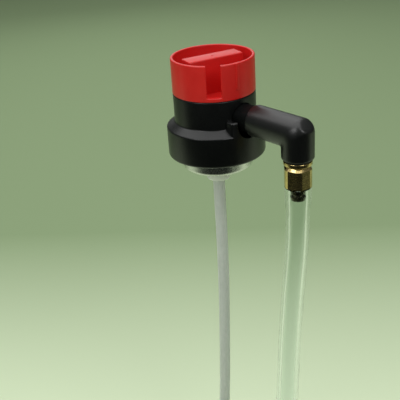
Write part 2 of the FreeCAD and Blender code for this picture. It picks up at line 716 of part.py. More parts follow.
def nozzle_hub():
    """The hub that presses the stem down and leads the gas out to the side."""
    post_bottom = STEM_BARREL_LOW - POST_LIP
    disc_r = CAM_OUTER_R + HUB_DISC_LIP
    body = turned([
        (0, post_bottom),
        (POST_R, post_bottom, EDGE),
        (POST_R, HUB_DISC_LOW),
        (disc_r, HUB_DISC_LOW, FINE_EDGE),
        (disc_r, HUB_DISC_TOP, FINE_EDGE),
        (0, HUB_DISC_TOP),
    ])
    lugs = [turn_z(hub_lug(), 360 / CAM_LOBES * i) for i in range(CAM_LOBES)]
    spigot = bar_along_x(SPIGOT_R, 0, SPIGOT_END, OUTLET_Z)
    hub = joined([body, spigot] + lugs)
    socket = cylinder(STEM_BARREL_R + SOCKET_CLEAR, post_bottom - PAST, STEM_TOP + SEAT_GAP)
    channel = cylinder(POST_CHANNEL_R, STEM_TOP, OUTLET_Z)
    bore = bar_along_x(SPIGOT_BORE_R, 0, SPIGOT_END + PAST, OUTLET_Z)
    half = SEAL_WIRE_R + SEAT_GAP
    groove = bar_along_x(SPIGOT_R + PAST, SEAL_X - half, SEAL_X + half, OUTLET_Z)
    groove = groove.cut(bar_along_x(SPIGOT_R - SEAL_GROOVE_DEPTH, SEAL_X - PAST, SEAL_X + PAST, OUTLET_Z))
    return hub.cut(socket).cut(channel).cut(bore).cut(groove)


def spigot_seal():
    """The O-ring between the hub's spigot and the elbow."""
    ring_r = SPIGOT_R + OUTLET_FIT - FINE_EDGE / 10 - SEAL_WIRE_R
    return Part.makeTorus(ring_r, SEAL_WIRE_R, Vector(SEAL_X, 0, OUTLET_Z), Vector(1, 0, 0))


def mitred_arm(solid, sign):
    """Half of the elbow, cut off at the plane where its two barrels meet."""
    reach = 3 * OUTLET_REACH
    knife = block((-reach, reach), (-reach, reach), (0, reach))
    knife.rotate(Vector(0, 0, 0), Vector(0, 1, 0), -45 if sign > 0 else 135)
    knife.translate(Vector(OUTLET_REACH, 0, OUTLET_Z))
    return solid.cut(knife)


def outlet_elbow():
    """The black elbow: neck, arm, mitred corner with an oval facet, down barrel."""
    corner_x, corner_z = OUTLET_REACH, OUTLET_Z
    past_corner = OUTLET_R + PAST
    neck = bar_along_x(NECK_R, OUTLET_START, ARM_START + PAST, corner_z)
    arm = bar_along_x(OUTLET_R, ARM_START, corner_x + past_corner, corner_z)
    drop = cylinder(OUTLET_R, ELBOW_BOTTOM, corner_z + past_corner, corner_x)
    elbow = joined([mitred_arm(arm, -1), mitred_arm(drop, 1), neck])
    facet = block((0, past_corner), (-past_corner, past_corner), (-2 * past_corner, 2 * past_corner))
    facet.rotate(Vector(0, 0, 0), Vector(0, 1, 0), -45)
    facet.translate(Vector(corner_x + ELBOW_FACET * OUTLET_R / 2, 0, corner_z + ELBOW_FACET * OUTLET_R / 2))
    elbow = elbow.cut(facet)
    facet_sum = corner_x + corner_z + ELBOW_FACET * OUTLET_R
    oval = [edge for edge in elbow.Edges if edge.BoundBox.XMin > corner_x - EDGE
            and abs(edge.CenterOfMass.x + edge.CenterOfMass.z - facet_sum) < EDGE]
    rims = [edge for edge in elbow.Edges if abs(edge.BoundBox.ZMax - ELBOW_BOTTOM) < 1e-3]
    boxes = [(edge, edge.BoundBox) for edge in elbow.Edges]
    shoulder = [edge for edge, box in boxes if abs(box.XMin - ARM_START) + abs(box.XMax - ARM_START) < 1e-3
                and box.ZMax > OUTLET_Z + NECK_R + FINE_EDGE]
    elbow = elbow.makeFillet(ELBOW_ROUND, oval).makeFillet(EDGE, rims)
    elbow = elbow.makeFillet(ARM_ROUND, shoulder)
    sleeve = bar_along_x(SPIGOT_R + OUTLET_FIT, OUTLET_START - PAST, SPIGOT_END + EDGE, corner_z)
    channel = bar_along_x(SPIGOT_BORE_R, SPIGOT_END, corner_x, corner_z)
    drop_bore = cylinder(SPIGOT_BORE_R, ELBOW_BOTTOM, corner_z, corner_x)
    turn_ball = Part.makeSphere(SPIGOT_BORE_R, Vector(corner_x, 0, corner_z))
    socket_r = FITTING_STUB_R + OUTLET_FIT
    socket = cylinder(socket_r, ELBOW_BOTTOM - PAST, ELBOW_BOTTOM + THREAD_DEPTH, corner_x)
    for hollow in (sleeve, channel, drop_bore, turn_ball, socket):
        elbow = elbow.cut(hollow)
    return elbow


def fitting_seal():
    """The black washer between the elbow and the brass fitting."""
    inner = FITTING_STUB_R + OUTLET_FIT
    ring = turned([
        (inner, FLANGE_TOP),
        (FITTING_SEAL_R, FLANGE_TOP, FINE_EDGE),
        (FITTING_SEAL_R, ELBOW_BOTTOM, FINE_EDGE),
        (inner, ELBOW_BOTTOM),
    ])
    ring.translate(Vector(OUTLET_REACH, 0, 0))
    return ring


def barb(root_z, tip_z, rings):
    """The corners of a barbed tail from its root at the shoulder to its tip, one side only."""
    step = (tip_z - root_z) / rings
    corners = []
    for i in range(rings):
        corners.append((BARB_ROOT_R, root_z + i * step))
        crest = root_z + (i + 0.35) * step
        corners.append((BARB_R, crest))
    corners.append((BARB_ROOT_R, tip_z))
    return corners


def hexagon(flats, low, high, chamfer):
    """A hexagonal bar with its corners turned off at both ends."""
    corner_r = flats / math.sqrt(3)
    points = [Vector(corner_r, 0, low)]
    points = [Rotation(Vector(0, 0, 1), 60 * i).multVec(points[0]) for i in range(7)]
    bar = Part.Face(Part.makePolygon(points)).extrude(Vector(0, 0, high - low))
    rise = chamfer * 0.6
    turned_bar = turned([
        (0, low),
        (corner_r - chamfer, low),
        (corner_r, low + rise),
        (corner_r, high - rise),
        (corner_r - chamfer, high),
        (0, high),
    ])
    return bar.common(turned_bar)


def hose_fitting():
    """The brass fitting: threaded stub, round flange, hexagon and barbed tail."""
    stub_top = ELBOW_BOTTOM + THREAD_DEPTH - FINE_EDGE
    neck = cylinder(FITTING_STUB_R, FLANGE_TOP - EDGE, stub_top)
    flange = turned([
        (0, HEX_TOP),
        (FITTING_FLANGE_R, HEX_TOP, FINE_EDGE),
        (FITTING_FLANGE_R, FLANGE_TOP, FINE_EDGE),
        (0, FLANGE_TOP),
    ])
    hex_bar = hexagon(HEX_FLATS, HEX_BOTTOM, HEX_TOP, HEX_CHAMFER)
    tip = HEX_BOTTOM - BARB_LENGTH
    tail = turned([(0, HEX_BOTTOM)] + barb(HEX_BOTTOM, tip, BARB_RINGS) + [(0, tip)])
    fitting = joined([neck, flange, hex_bar, tail])
    fitting = fitting.cut(cylinder(FITTING_BORE_R, tip - PAST, stub_top + PAST))
    fitting.translate(Vector(OUTLET_REACH, 0, 0))
    return fitting


def hose():
    """The clear hose, hanging beside the can."""
    return swept_tube(route_from(HOSE_START, HOSE_ROUTE), HOSE_R, HOSE_BORE_R, "hose")


def on_chuck(shape):
    """The shape moved from the axis to the hose's far end."""
    shape.translate(Vector(*CHUCK_PLACE))
    return shape


def chuck_tail():
    """The brass tail in the hose's end, with the flange that the nut turns on."""
    flange_top = -CHUCK_NECK_LENGTH
    flange_low = flange_top - CHUCK_FLANGE_THICK
    tail = turned([
        (CHUCK_BORE_R, CHUCK_BARB_LENGTH),
        (CHUCK_BORE_R, flange_low),
        (CHUCK_FLANGE_R, flange_low),
        (CHUCK_FLANGE_R, flange_top, FINE_EDGE),
        (CHUCK_NECK_R, flange_top),
        (CHUCK_NECK_R, 0),
    ] + barb(0, CHUCK_BARB_LENGTH, CHUCK_BARB_RINGS))
    return on_chuck(tail)


def chuck_seal():
    """The rubber washer that seals on the tyre valve's end."""
    high = -CHUCK_NECK_LENGTH - CHUCK_FLANGE_THICK
    low = high - CHUCK_SEAL_THICK
    outer = CHUCK_FLANGE_R - SEAT_GAP
    return on_chuck(turned([
        (CHUCK_BORE_R, low, FINE_EDGE),
        (outer, low, FINE_EDGE),
        (outer, high),
        (CHUCK_BORE_R, high),
    ]))


def core_pin():
    """The pin that opens the tyre valve's core, held by its flats in the tail's bore."""
    seal_low = -CHUCK_NECK_LENGTH - CHUCK_FLANGE_THICK - CHUCK_SEAL_THICK
    tip = seal_low - PIN_PROUD
    head_r = CHUCK_BORE_R - CHUCK_NECK_CLEAR / 4
    head_low = -CHUCK_NECK_LENGTH
    pin = turned([
        (0, tip),
        (PIN_R, tip, FINE_EDGE),
        (PIN_R, head_low),
        (head_r, head_low),
        (head_r, head_low + CHUCK_FLANGE_THICK),
        (0, head_low + CHUCK_FLANGE_THICK),
    ])
    for side in (-1, 1):
        near, far = sorted((side * PIN_R, side * (head_r + PAST)))
        pin = pin.cut(block((-PAST - head_r, head_r + PAST), (near, far), (head_low - PAST, PAST)))
    return on_chuck(pin)


def chuck_nut():
    """The fluted nut that turns on the tail and screws onto the tyre valve."""
    top = -NUT_GAP
    roof = top - NUT_ROOF
    relief_low = roof - NUT_RELIEF_LENGTH
    bottom = relief_low - TYRE_THREAD_LENGTH
    neck_hole = CHUCK_NECK_R + CHUCK_NECK_CLEAR
    nut = turned([
        (neck_hole, top),
        (neck_hole, roof),
        (NUT_RELIEF_R, roof),
        (NUT_RELIEF_R, relief_low),
        (TYRE_THREAD_R, relief_low),
        (TYRE_THREAD_R, bottom),
        (NUT_R, bottom, 2 * EDGE),
        (NUT_R, top, 2 * EDGE),
    ])
    flute = cylinder(NUT_FLUTE_R, bottom + PAST, top - PAST, NUT_R + FINE_EDGE)
    for i in range(NUT_FLUTES):
        nut = nut.cut(turn_z(flute, 360 / NUT_FLUTES * i))
    return on_chuck(nut)


PIECES = (
    mounting_cup,
    cup_gasket,
    stem_gasket,
    valve_stem,
    valve_spring,
    valve_housing,
    dip_tube,
    collar_body,
    twist_knob,
    nozzle_hub,
    spigot_seal,
    outlet_elbow,
    fitting_seal,
    hose_fitting,
    hose,
    chuck_tail,
    chuck_seal,
    core_pin,
    chuck_nut,
)


def main():
    os.makedirs("parts", exist_ok=True)
    for make in PIECES:
        shape = make()
        solids = shape.Solids
        if len(solids) != 1 or not shape.isValid():
            print("CHECK", make.__name__, "solids", len(solids), "valid", shape.isValid())
        solids[0].exportStep("parts/" + make.__name__ + ".step")
        print("%-14s volume %9.1f" % (make.__name__, solids[0].Volume))


main()
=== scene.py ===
import math

import bmesh
import bpy
from mathutils import Matrix, Vector


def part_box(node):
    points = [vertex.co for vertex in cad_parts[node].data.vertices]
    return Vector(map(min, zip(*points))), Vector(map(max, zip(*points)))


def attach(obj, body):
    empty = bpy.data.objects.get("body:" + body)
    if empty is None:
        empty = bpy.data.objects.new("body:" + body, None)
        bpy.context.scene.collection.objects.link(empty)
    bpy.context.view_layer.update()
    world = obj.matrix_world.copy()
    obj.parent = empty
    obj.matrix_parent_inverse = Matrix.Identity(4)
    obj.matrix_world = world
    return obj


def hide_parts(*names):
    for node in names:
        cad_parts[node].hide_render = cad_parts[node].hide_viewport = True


# Looks of the twist-to-inflate valve. Meshes are built in millimetres in the part's own
# frame and scaled to metres at the end. +X points along the outlet, +Z up out of the can.
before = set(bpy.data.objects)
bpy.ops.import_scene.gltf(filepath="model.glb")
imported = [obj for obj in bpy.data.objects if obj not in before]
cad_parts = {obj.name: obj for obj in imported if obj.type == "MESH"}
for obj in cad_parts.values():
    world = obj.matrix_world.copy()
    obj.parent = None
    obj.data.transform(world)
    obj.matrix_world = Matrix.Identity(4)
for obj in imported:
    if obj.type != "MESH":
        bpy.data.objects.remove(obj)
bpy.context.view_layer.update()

MM = 0.001


def node_box(node):
    """A node's lowest and highest corner in millimetres."""
    low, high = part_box(node)
    return low / MM, high / MM


KNOB_HIGH = node_box("twist_knob")[1]
COLLAR_LOW, COLLAR_HIGH = node_box("collar_body")
ELBOW_LOW, ELBOW_HIGH = node_box("outlet_elbow")
FITTING_LOW = node_box("hose_fitting")[0]
HOSE_HIGH = node_box("hose")[1]
NUT_LOW = node_box("chuck_nut")[0]
DIP_LOW = node_box("dip_tube")[0]

# Red knob
KNOB_R = 14.45
KNOB_WALL = 1.0
KNOB_BOTTOM = 21.2
KNOB_TOP = KNOB_HIGH.z
KNOB_UNDER = 20.15
KNOB_FLOOR = 21.05
KNOB_LIP_Z = 22.4
KNOB_LIP_R = 12.4
KNOB_SPIGOT_R = 13.0
BLADE_LENGTH = 20.7
BLADE_THICK = 6.2
BLADE_DROP = 0.3
BLADE_ANGLE = 76.2
SLOT_WIDTH = 4.9
SLOT_ANGLE = -41.7
POINTER_ANGLE = -9.0
POINTER_WIDTH = 1.1
POINTER_PROUD = 0.35
POINTER_LENGTH = 8.6
POINTER_DROP = 0.3
POINTER_GAP = 0.05
BLADE_ROUND = 0.45
BLADE_SPREAD = 0.05
BLADE_STRETCH = 0.015
EMBED = 0.2
# The mark where the blade was filled: (r, height over the blade, rounding)
GATE_MARK = ((0, -0.2), (0.6, -0.2), (0.5, 0.1, 0.06), (0.22, 0.1, 0.05), (0.15, 0.02), (0, 0.02))

# Snap hooks, stop lugs and cam ramps
HOOK_COUNT = 2
HOOK_ANGLE = 45.0
HOOK_ARC = 16.0
HOOK_R = 12.1
HOOK_WALL = 1.1
HOOK_BARB = 0.8
HOOK_BARB_TOP = 18.35
HOOK_TIP = 17.15
STOP_CLEAR = 1.5
STOP_ARC = 5.5
STOP_ROOT = 0.6
TURN = 90.0
CAM_LOBES = 2
CAM_ANGLE = 210.0
CAM_INNER_R = 5.8
CAM_OUTER_R = 8.6
CAM_TOP = 19.8
LUG_ARC = 12.0

# Black collar
SKIRT_R = COLLAR_HIGH.x
SKIRT_BOTTOM = COLLAR_LOW.z
BARREL_TOP = COLLAR_HIGH.z
LEDGE_Z = 9.15
BARREL_R = 14.4
BARREL_FOOT = 11.2
WALL = 1.15
BARREL_BORE_R = 13.2
SNAP_LEDGE_R = 12.3
SNAP_LEDGE_LOW = 18.55
SNAP_LEDGE_TOP = 19.75
SADDLE_HALF = 7.0
SADDLE_SET_BACK = 0.02
SADDLE_SINK = 0.6
SADDLE_DROP = 0.2
SADDLE_BURIED = 1.2
SADDLE_ROUND = 0.7
SADDLE_STEPS = 12
WINDOW_START = 10
WINDOW_STEPS = 32
BEAD_TOP = 0.15
BEAD_HIGH = -0.3
BEAD_LOW = -1.05
BEAD_PROUD = 0.45
DECK_LOW = 5.0
DECK_TOP = 6.2
GUIDE_R = 5.8
GUIDE_BORE_R = 4.6
GUIDE_TOP = 8.5
SPOKE_COUNT = 8
SPOKE_INNER_R = 12.8
SPOKE_THICK = 1.2
SPOKE_LOW = 3.45
SPOKE_TOP = 5.4
WALL_BITE = 0.4

# Outlet
OUTLET_R = ELBOW_HIGH.y
OUTLET_START = ELBOW_LOW.x
OUTLET_Z = ELBOW_HIGH.z - OUTLET_R
OUTLET_REACH = 38.65
OUTLET_CLEAR = 0.3
NECK_R = 4.6
ARM_START = 19.8
ARM_ROUND = 0.7
ELBOW_BOTTOM = ELBOW_LOW.z
ELBOW_FACET = 1.36
ELBOW_SOFT = 0.45
ELBOW_INNER_ROUND = 0.5
ELBOW_OUTER_ROUND = 4.0
TRAVEL = 2.0

# Brass fitting
FITTING_FLANGE_R = 4.75
FITTING_SEAL_R = 4.6
FLANGE_TOP = 5.4
HEX_TOP = 3.9
HEX_BOTTOM = HOSE_HIGH.z
HEX_FLATS = 8.8
HEX_CORNER_R = 4.7
HEX_TURN = 18.5
HEX_LOW_BEVEL = 0.75
HEX_TOP_BEVEL = 0.85
THREAD_FOOT_R = 3.6
THREAD_R = 3.45
THREAD_LENGTH = 4.0
SEAL_BORE_R = 3.5
BARB_R = 2.65
BARB_ROOT_R = 2.3
FITTING_BORE_R = 1.5
BARB_TIP = FITTING_LOW.z

# Hose. Its route is measured from the underside of the fitting's hexagon.
HOSE_R = 4.0
HOSE_BORE_R = 2.6
HOSE_FLARE = 0.4
FLARE_FULL = 5.0
FLARE_END = 9.0
CHUCK_FLARE_FULL = 8.0
CHUCK_FLARE_END = 12.0
LINE_SPLIT = 3
HOSE_START = Vector((OUTLET_REACH, 0, HEX_BOTTOM))
HOSE_ROUTE = (
    (0.0, 0.0, 0.0),
    (0.0, 0.0, -17.5),
    (-0.7, -2.3, -40.5),
    (-1.25, -4.0, -65.5),
    (-1.5, -5.2, -89.5),
    (-1.95, -6.9, -115.5),
    (-1.95, -6.9, -136.5),
)
CHUCK_PLACE = HOSE_START + Vector(HOSE_ROUTE[-1])

# Chuck nut, its heights measured from its top
NUT_TOP = -0.3
NUT_R = 5.7
NUT_NECK_R = 2.88
NUT_NECK_DEPTH = 2.5
NUT_SEAT_R = 4.15
NUT_SEAT_DEPTH = 8.7
NUT_THREAD_R = 3.85
NUT_THREAD_DEPTH = 8.9
FLUTES = 16
FLUTE_DEPTH = 0.38
FLUTE_SPREAD = 0.2
FLUTE_START = 1.0
FLUTE_FULL = 1.8
FLUTE_EDGE = 0.9
FLUTE_ROWS = 16
FLUTE_LEAST_R = 5.2

# Crimp-on cup: (r, z, bend) along the middle of its sheet
CUP_SHEET = 0.4
CUP_LINE = (
    (15.8, 0.6, 0), (15.8, 3.2, 1.7), (12.4, 3.2, 1.7), (12.4, -6.4, 1.2), (5.4, -6.4, 0.7),
    (5.4, -4.55, 0.4), (4.8, -3.75, 0.4), (5.4, -2.95, 0.4), (5.4, 0.6, 0.8), (2.6, 0.6, 0),
)

# Camera, found by matching the collar, knob and outlet to the photograph
CAMERA_PLACE = (192.95, -170.64, 103.6)
CAMERA_AZIMUTH = 47.8
CAMERA_YAW = -2.362
CAMERA_PITCH = 25.81
CAMERA_ROLL = -3.845
CAMERA_LENS = 69.55
SENSOR = 36.0

# Stage, in metres apart from the drop. FLOOR_NEAR and FLOOR_FAR are distances away from the camera's
# side of the object, between which the floor's colour goes from bright to dim as painted light falloff, and
# GLOSSY_ the same for what glossy rays see, a painted dark reflection. A light is its name, its place away
# from the camera, right and up, size and power.
FLOOR_DROP = 4.0
FLOOR_SIZE = 6
FLOOR_NEAR = 0.05
FLOOR_FAR = 0.26
# Painted light falloff: the floor's colour near the camera's side and behind the object.
FLOOR_PAINTED_LIGHT = (0.62, 0.72, 0.50)
FLOOR_PAINTED_SHADE = (0.25, 0.335, 0.185)
GLOSSY_NEAR = -0.16
GLOSSY_FAR = 0.0
# Painted dark reflection: the floor's colour in front of the object as glossy rays see it.
GLOSSY_PAINTED_DARK = (0.01, 0.012, 0.01)
WORLD_COLOUR = (0.80, 0.86, 0.78)
WORLD_STRENGTH = 0.16
LIGHTS = (
    ("overhead", (0.1, -0.1, 0.95), 1.9, 16.0),
    ("back", (0.9, -0.15, 0.36), 0.7, 1.0),
    ("left", (-0.5, -0.5, 0.42), 0.35, 1.3),
    ("right", (-0.55, 0.35, 0.42), 0.35, 1.3),
)


def rounded_outline(corners, closed, steps=4):
    """Points of an (r, z) outline whose corners may carry a rounding as a third value."""
    points = []
    count = len(corners)
    for i, corner in enumerate(corners):
        here = Vector(corner[:2])
        rounding = corner[2] if len(corner) > 2 else 0
        at_end = not closed and i in (0, count - 1)
        if not rounding or at_end:
            points.append(here)
            continue
        back = (Vector(corners[i - 1][:2]) - here).normalized()
        ahead = (Vector(corners[(i + 1) % count][:2]) - here).normalized()
        half = back.angle(ahead) / 2
        centre = here + (back + ahead).normalized() * (rounding / math.sin(half))
        first = here + back * (rounding / math.tan(half)) - centre
        last = here + ahead * (rounding / math.tan(half)) - centre
        for k in range(steps + 1):
            spoke = first.normalized().slerp(last.normalized(), k / steps)
            points.append(centre + spoke * rounding)
    return points


def new_piece(name, mesh_builder, centre=(0, 0, 0), sharp=35.0, bevel=0.0, bevel_angle=50.0):
    """A smooth-shaded mesh object in metres from a bmesh in millimetres."""
    mesh_builder.transform(Matrix.Translation(Vector(centre)))
    bmesh.ops.recalc_face_normals(mesh_builder, faces=mesh_builder.faces)
    mesh = bpy.data.meshes.new(name)
    mesh_builder.to_mesh(mesh)
    mesh_builder.free()
    piece = bpy.data.objects.new(name, mesh)
    bpy.context.scene.collection.objects.link(piece)
    if bevel:
        modifier = piece.modifiers.new("edges", "BEVEL")
        modifier.width = bevel
        modifier.segments = 2
        modifier.limit_method = "ANGLE"
        modifier.angle_limit = math.radians(bevel_angle)
        modifier.use_clamp_overlap = False
        apply_modifiers(piece)
    finish_mesh(piece, sharp)
    return piece


def apply_modifiers(piece):
    """The piece's mesh becomes what its modifiers make of it."""
    graph = bpy.context.evaluated_depsgraph_get()
    made = bpy.data.meshes.new_from_object(piece.evaluated_get(graph))
    piece.modifiers.clear()
    piece.data = made


def finish_mesh(piece, sharp):
    """Smooth shading with sharp edges past an angle, and millimetres to metres."""
    mesh = piece.data
    for face in mesh.polygons:
        face.use_smooth = True
    mesh.set_sharp_from_angle(angle=math.radians(sharp))
    mesh.transform(Matrix.Scale(MM, 4))


def turned(corners, closed=True, turns=160, steps=4, radius_of=None):
    """A bmesh turned about Z. An open outline starts and ends on the axis."""
    points = rounded_outline(corners, closed, steps)
    built = bmesh.new()
    columns = []
    poles = {}
    for j in range(turns):
        angle = 2 * math.pi * j / turns
        column = []
        for i, (r, z) in enumerate(points):
            if r < 1e-6:
                if i not in poles:
                    poles[i] = built.verts.new((0, 0, z))
                column.append(poles[i])
                continue
            reach = radius_of(r, z, angle) if radius_of else r
            column.append(built.verts.new((reach * math.cos(angle), reach * math.sin(angle), z)))
        columns.append(column)
    last = len(points) if closed else len(points) - 1
    for j in range(turns):
        here, there = columns[j], columns[(j + 1) % turns]
        for i in range(last):
            k = (i + 1) % len(points)
            corners_here = [here[i], there[i], there[k], here[k]]
            unique = list(dict.fromkeys(corners_here))
            if len(unique) > 2:
                built.faces.new(unique)
    return built


def sector(corners_at, start, end, steps):
    """A closed solid turned about Z between two angles. corners_at gives its (r, z) outline at an angle."""
    built = bmesh.new()
    columns = []
    for j in range(steps + 1):
        angle = start + (end - start) * j / steps
        turn = math.radians(angle)
        columns.append([built.verts.new((r * math.cos(turn), r * math.sin(turn), z))
                        for r, z in corners_at(angle)])
    for here, there in zip(columns, columns[1:]):
        for i in range(len(here)):
            k = (i + 1) % len(here)
            built.faces.new([here[i], there[i], there[k], here[k]])
    built.faces.new(columns[0])
    built.faces.new(columns[-1])
    return built


def box_bmesh(x_span, y_span, z_span, bevel=0.0, segments=3, keep_bottom=False):
    """A box, with its edges rounded."""
    built = bmesh.new()
    bmesh.ops.create_cube(built, size=1)
    for vert in built.verts:
        for axis, (low, high) in enumerate((x_span, y_span, z_span)):
            vert.co[axis] = low if vert.co[axis] < 0 else high
    if bevel:
        low_z = z_span[0] + 1e-4
        edges = [e for e in built.edges if not keep_bottom or max(v.co.z for v in e.verts) > low_z]
        bmesh.ops.bevel(built, geom=edges, offset=bevel, segments=segments, affect="EDGES", profile=0.5)
    return built


def spun(built, angle):
    """The bmesh turned about the Z axis by degrees."""
    built.transform(Matrix.Rotation(math.radians(angle), 4, "Z"))
    return built


def merged(parts):
    """One bmesh from several."""
    whole = bmesh.new()
    for part in parts:
        bmesh.ops.recalc_face_normals(part, faces=part.faces)
        mesh = bpy.data.meshes.new("part")
        part.to_mesh(mesh)
        part.free()
        whole.from_mesh(mesh)
        bpy.data.meshes.remove(mesh)
    return whole


def cut_with(piece_mesh, tool, operation):
    """The boolean of two bmeshes, both freed."""
    objects = []
    for built in (piece_mesh, tool):
        bmesh.ops.recalc_face_normals(built, faces=built.faces)
        mesh = bpy.data.meshes.new("boolean")
        built.to_mesh(mesh)
        built.free()
        item = bpy.data.objects.new("boolean", mesh)
        bpy.context.scene.collection.objects.link(item)
        objects.append(item)
    target, cutter = objects
    modifier = target.modifiers.new("cut", "BOOLEAN")
    modifier.operation = operation
    modifier.solver = "EXACT"
    modifier.object = cutter
    graph = bpy.context.evaluated_depsgraph_get()
    made = bpy.data.meshes.new_from_object(target.evaluated_get(graph))
    result = bmesh.new()
    result.from_mesh(made)
    for item in objects:
        bpy.data.objects.remove(item)
    bpy.data.meshes.remove(made)
    return result


# Materials


def shader(name, base, rough, metal=0.0, specular=0.5):
    """A node material with its main shader."""
    material = bpy.data.materials.new(name)
    material.use_nodes = True
    surface = material.node_tree.nodes["Principled BSDF"]
    surface.inputs["Base Color"].default_value = (*base, 1)
    surface.inputs["Roughness"].default_value = rough
    surface.inputs["Metallic"].default_value = metal
    surface.inputs["Specular IOR Level"].default_value = specular
    return material, material.node_tree, surface


def noise(tree, scale, detail=3.0, stretch=(1, 1, 1)):
    """A noise texture in object space, its scale in features per metre."""
    place = tree.nodes.new("ShaderNodeTexCoord")
    mapping = tree.nodes.new("ShaderNodeMapping")
    mapping.inputs["Scale"].default_value = stretch
    texture = tree.nodes.new("ShaderNodeTexNoise")
    texture.inputs["Scale"].default_value = scale
    texture.inputs["Detail"].default_value = detail
    tree.links.new(place.outputs["Object"], mapping.inputs["Vector"])
    tree.links.new(mapping.outputs["Vector"], texture.inputs["Vector"])
    return texture.outputs["Fac"]


def ranged(tree, value, low, high):
    """A 0 to 1 value spread to low to high."""
    spread = tree.nodes.new("ShaderNodeMapRange")
    spread.inputs["From Min"].default_value = 0.3
    spread.inputs["From Max"].default_value = 0.7
    spread.inputs["To Min"].default_value = low
    spread.inputs["To Max"].default_value = high
    tree.links.new(value, spread.inputs["Value"])
    return spread.outputs["Result"]


def tint(tree, value, dark, light):
    """A colour between two, by a value."""
    ramp = tree.nodes.new("ShaderNodeValToRGB")
    ramp.color_ramp.elements[0].position = 0.3
    ramp.color_ramp.elements[0].color = (*dark, 1)
    ramp.color_ramp.elements[1].position = 0.7
    ramp.color_ramp.elements[1].color = (*light, 1)
    tree.links.new(value, ramp.inputs["Fac"])
    return ramp.outputs["Color"]


def bumped(tree, surface, value, strength, distance):
    """A bump from a value, its distance in metres."""
    bump = tree.nodes.new("ShaderNodeBump")
    bump.inputs["Strength"].default_value = strength
    bump.inputs["Distance"].default_value = distance
    tree.links.new(value, bump.inputs["Height"])
    tree.links.new(bump.outputs["Normal"], surface.inputs["Normal"])


def red_plastic():
    """Satin moulded red: a little light goes in at its edges."""
    material, tree, surface = shader("red_plastic", (0.58, 0.012, 0.010), 0.34, specular=0.4)
    grain = noise(tree, 2500)
    broad = noise(tree, 120, 2)
    colour = tint(tree, broad, (0.55, 0.010, 0.009), (0.61, 0.014, 0.012))
    tree.links.new(colour, surface.inputs["Base Color"])
    tree.links.new(ranged(tree, grain, 0.30, 0.38), surface.inputs["Roughness"])
    surface.inputs["Subsurface Weight"].default_value = 0.12
    surface.inputs["Subsurface Radius"].default_value = (1.0, 0.2, 0.15)
    surface.inputs["Subsurface Scale"].default_value = 0.0012
    bumped(tree, surface, grain, 0.25, 0.00004)
    return material


def black_plastic(name, rough, specular):
    """Black moulded plastic with the faint grain of its mould."""
    material, tree, surface = shader(name, (0.002, 0.0025, 0.0025), rough, specular=specular)
    grain = noise(tree, 3200)
    broad = noise(tree, 150, 2)
    colour = tint(tree, broad, (0.0015, 0.002, 0.002), (0.0025, 0.003, 0.003))
    tree.links.new(colour, surface.inputs["Base Color"])
    tree.links.new(ranged(tree, grain, rough - 0.05, rough + 0.06), surface.inputs["Roughness"])
    bumped(tree, surface, grain, 0.3, 0.00004)
    return material


def rubber():
    """Black rubber of the seals."""
    material, tree, surface = shader("rubber", (0.012, 0.012, 0.012), 0.6, specular=0.3)
    grain = noise(tree, 2600)
    tree.links.new(ranged(tree, grain, 0.52, 0.68), surface.inputs["Roughness"])
    bumped(tree, surface, grain, 0.4, 0.00004)
    return material


def brass(name, dull, bright):
    """Turned brass with fine tool marks and a duller tone in patches."""
    material, tree, surface = shader(name, bright, 0.22, metal=1.0)
    patches = noise(tree, 420, 4)
    marks = noise(tree, 900, 2, (1, 1, 14))
    tree.links.new(tint(tree, patches, dull, bright), surface.inputs["Base Color"])
    tree.links.new(ranged(tree, marks, 0.16, 0.30), surface.inputs["Roughness"])
    bumped(tree, surface, marks, 0.25, 0.00003)
    return material


def tinplate():
    """Drawn tinplate, bright with faint rings."""
    material, tree, surface = shader("tinplate", (0.66, 0.67, 0.64), 0.26, metal=1.0)
    patches = noise(tree, 260, 4)
    tree.links.new(tint(tree, patches, (0.56, 0.57, 0.54), (0.72, 0.73, 0.70)), surface.inputs["Base Color"])
    tree.links.new(ranged(tree, noise(tree, 1400, 2, (1, 1, 6)), 0.20, 0.34), surface.inputs["Roughness"])
    bumped(tree, surface, patches, 0.15, 0.00006)
    return material


def white_plastic():
    """Natural white moulded plastic."""
    material, tree, surface = shader("white_plastic", (0.78, 0.79, 0.77), 0.42)
    grain = noise(tree, 1800)
    colour = tint(tree, noise(tree, 160, 2), (0.74, 0.75, 0.72), (0.81, 0.82, 0.80))
    tree.links.new(colour, surface.inputs["Base Color"])
    surface.inputs["Subsurface Weight"].default_value = 0.3
    surface.inputs["Subsurface Radius"].default_value = (1.0, 0.9, 0.8)
    surface.inputs["Subsurface Scale"].default_value = 0.001
    bumped(tree, surface, grain, 0.2, 0.00004)
    return material


def frosted_tube():
    """The milky, half-clear dip tube."""
    material, tree, surface = shader("frosted_tube", (0.86, 0.89, 0.87), 0.38)
    surface.inputs["Transmission Weight"].default_value = 0.45
    surface.inputs["IOR"].default_value = 1.45
    grain = noise(tree, 1500, 3, (1, 1, 0.3))
    tree.links.new(tint(tree, grain, (0.80, 0.84, 0.81), (0.90, 0.92, 0.90)), surface.inputs["Base Color"])
    tree.links.new(ranged(tree, grain, 0.32, 0.46), surface.inputs["Roughness"])
    bumped(tree, surface, grain, 0.3, 0.00004)
    return material


def clear_hose():
    """Clear flexible plastic."""
    material, tree, surface = shader("clear_hose", (0.95, 0.98, 0.97), 0.04)
    surface.inputs["Transmission Weight"].default_value = 1.0
    surface.inputs["IOR"].default_value = 1.44
    ripple = noise(tree, 260, 2, (1, 1, 0.25))
    tree.links.new(ranged(tree, ripple, 0.02, 0.07), surface.inputs["Roughness"])
    bumped(tree, surface, ripple, 0.2, 0.0002)
    return material


def spring_steel():
    """Drawn spring wire."""
    material, tree, surface = shader("spring_steel", (0.55, 0.55, 0.56), 0.3, metal=1.0)
    tree.links.new(ranged(tree, noise(tree, 2000), 0.24, 0.38), surface.inputs["Roughness"])
    return material


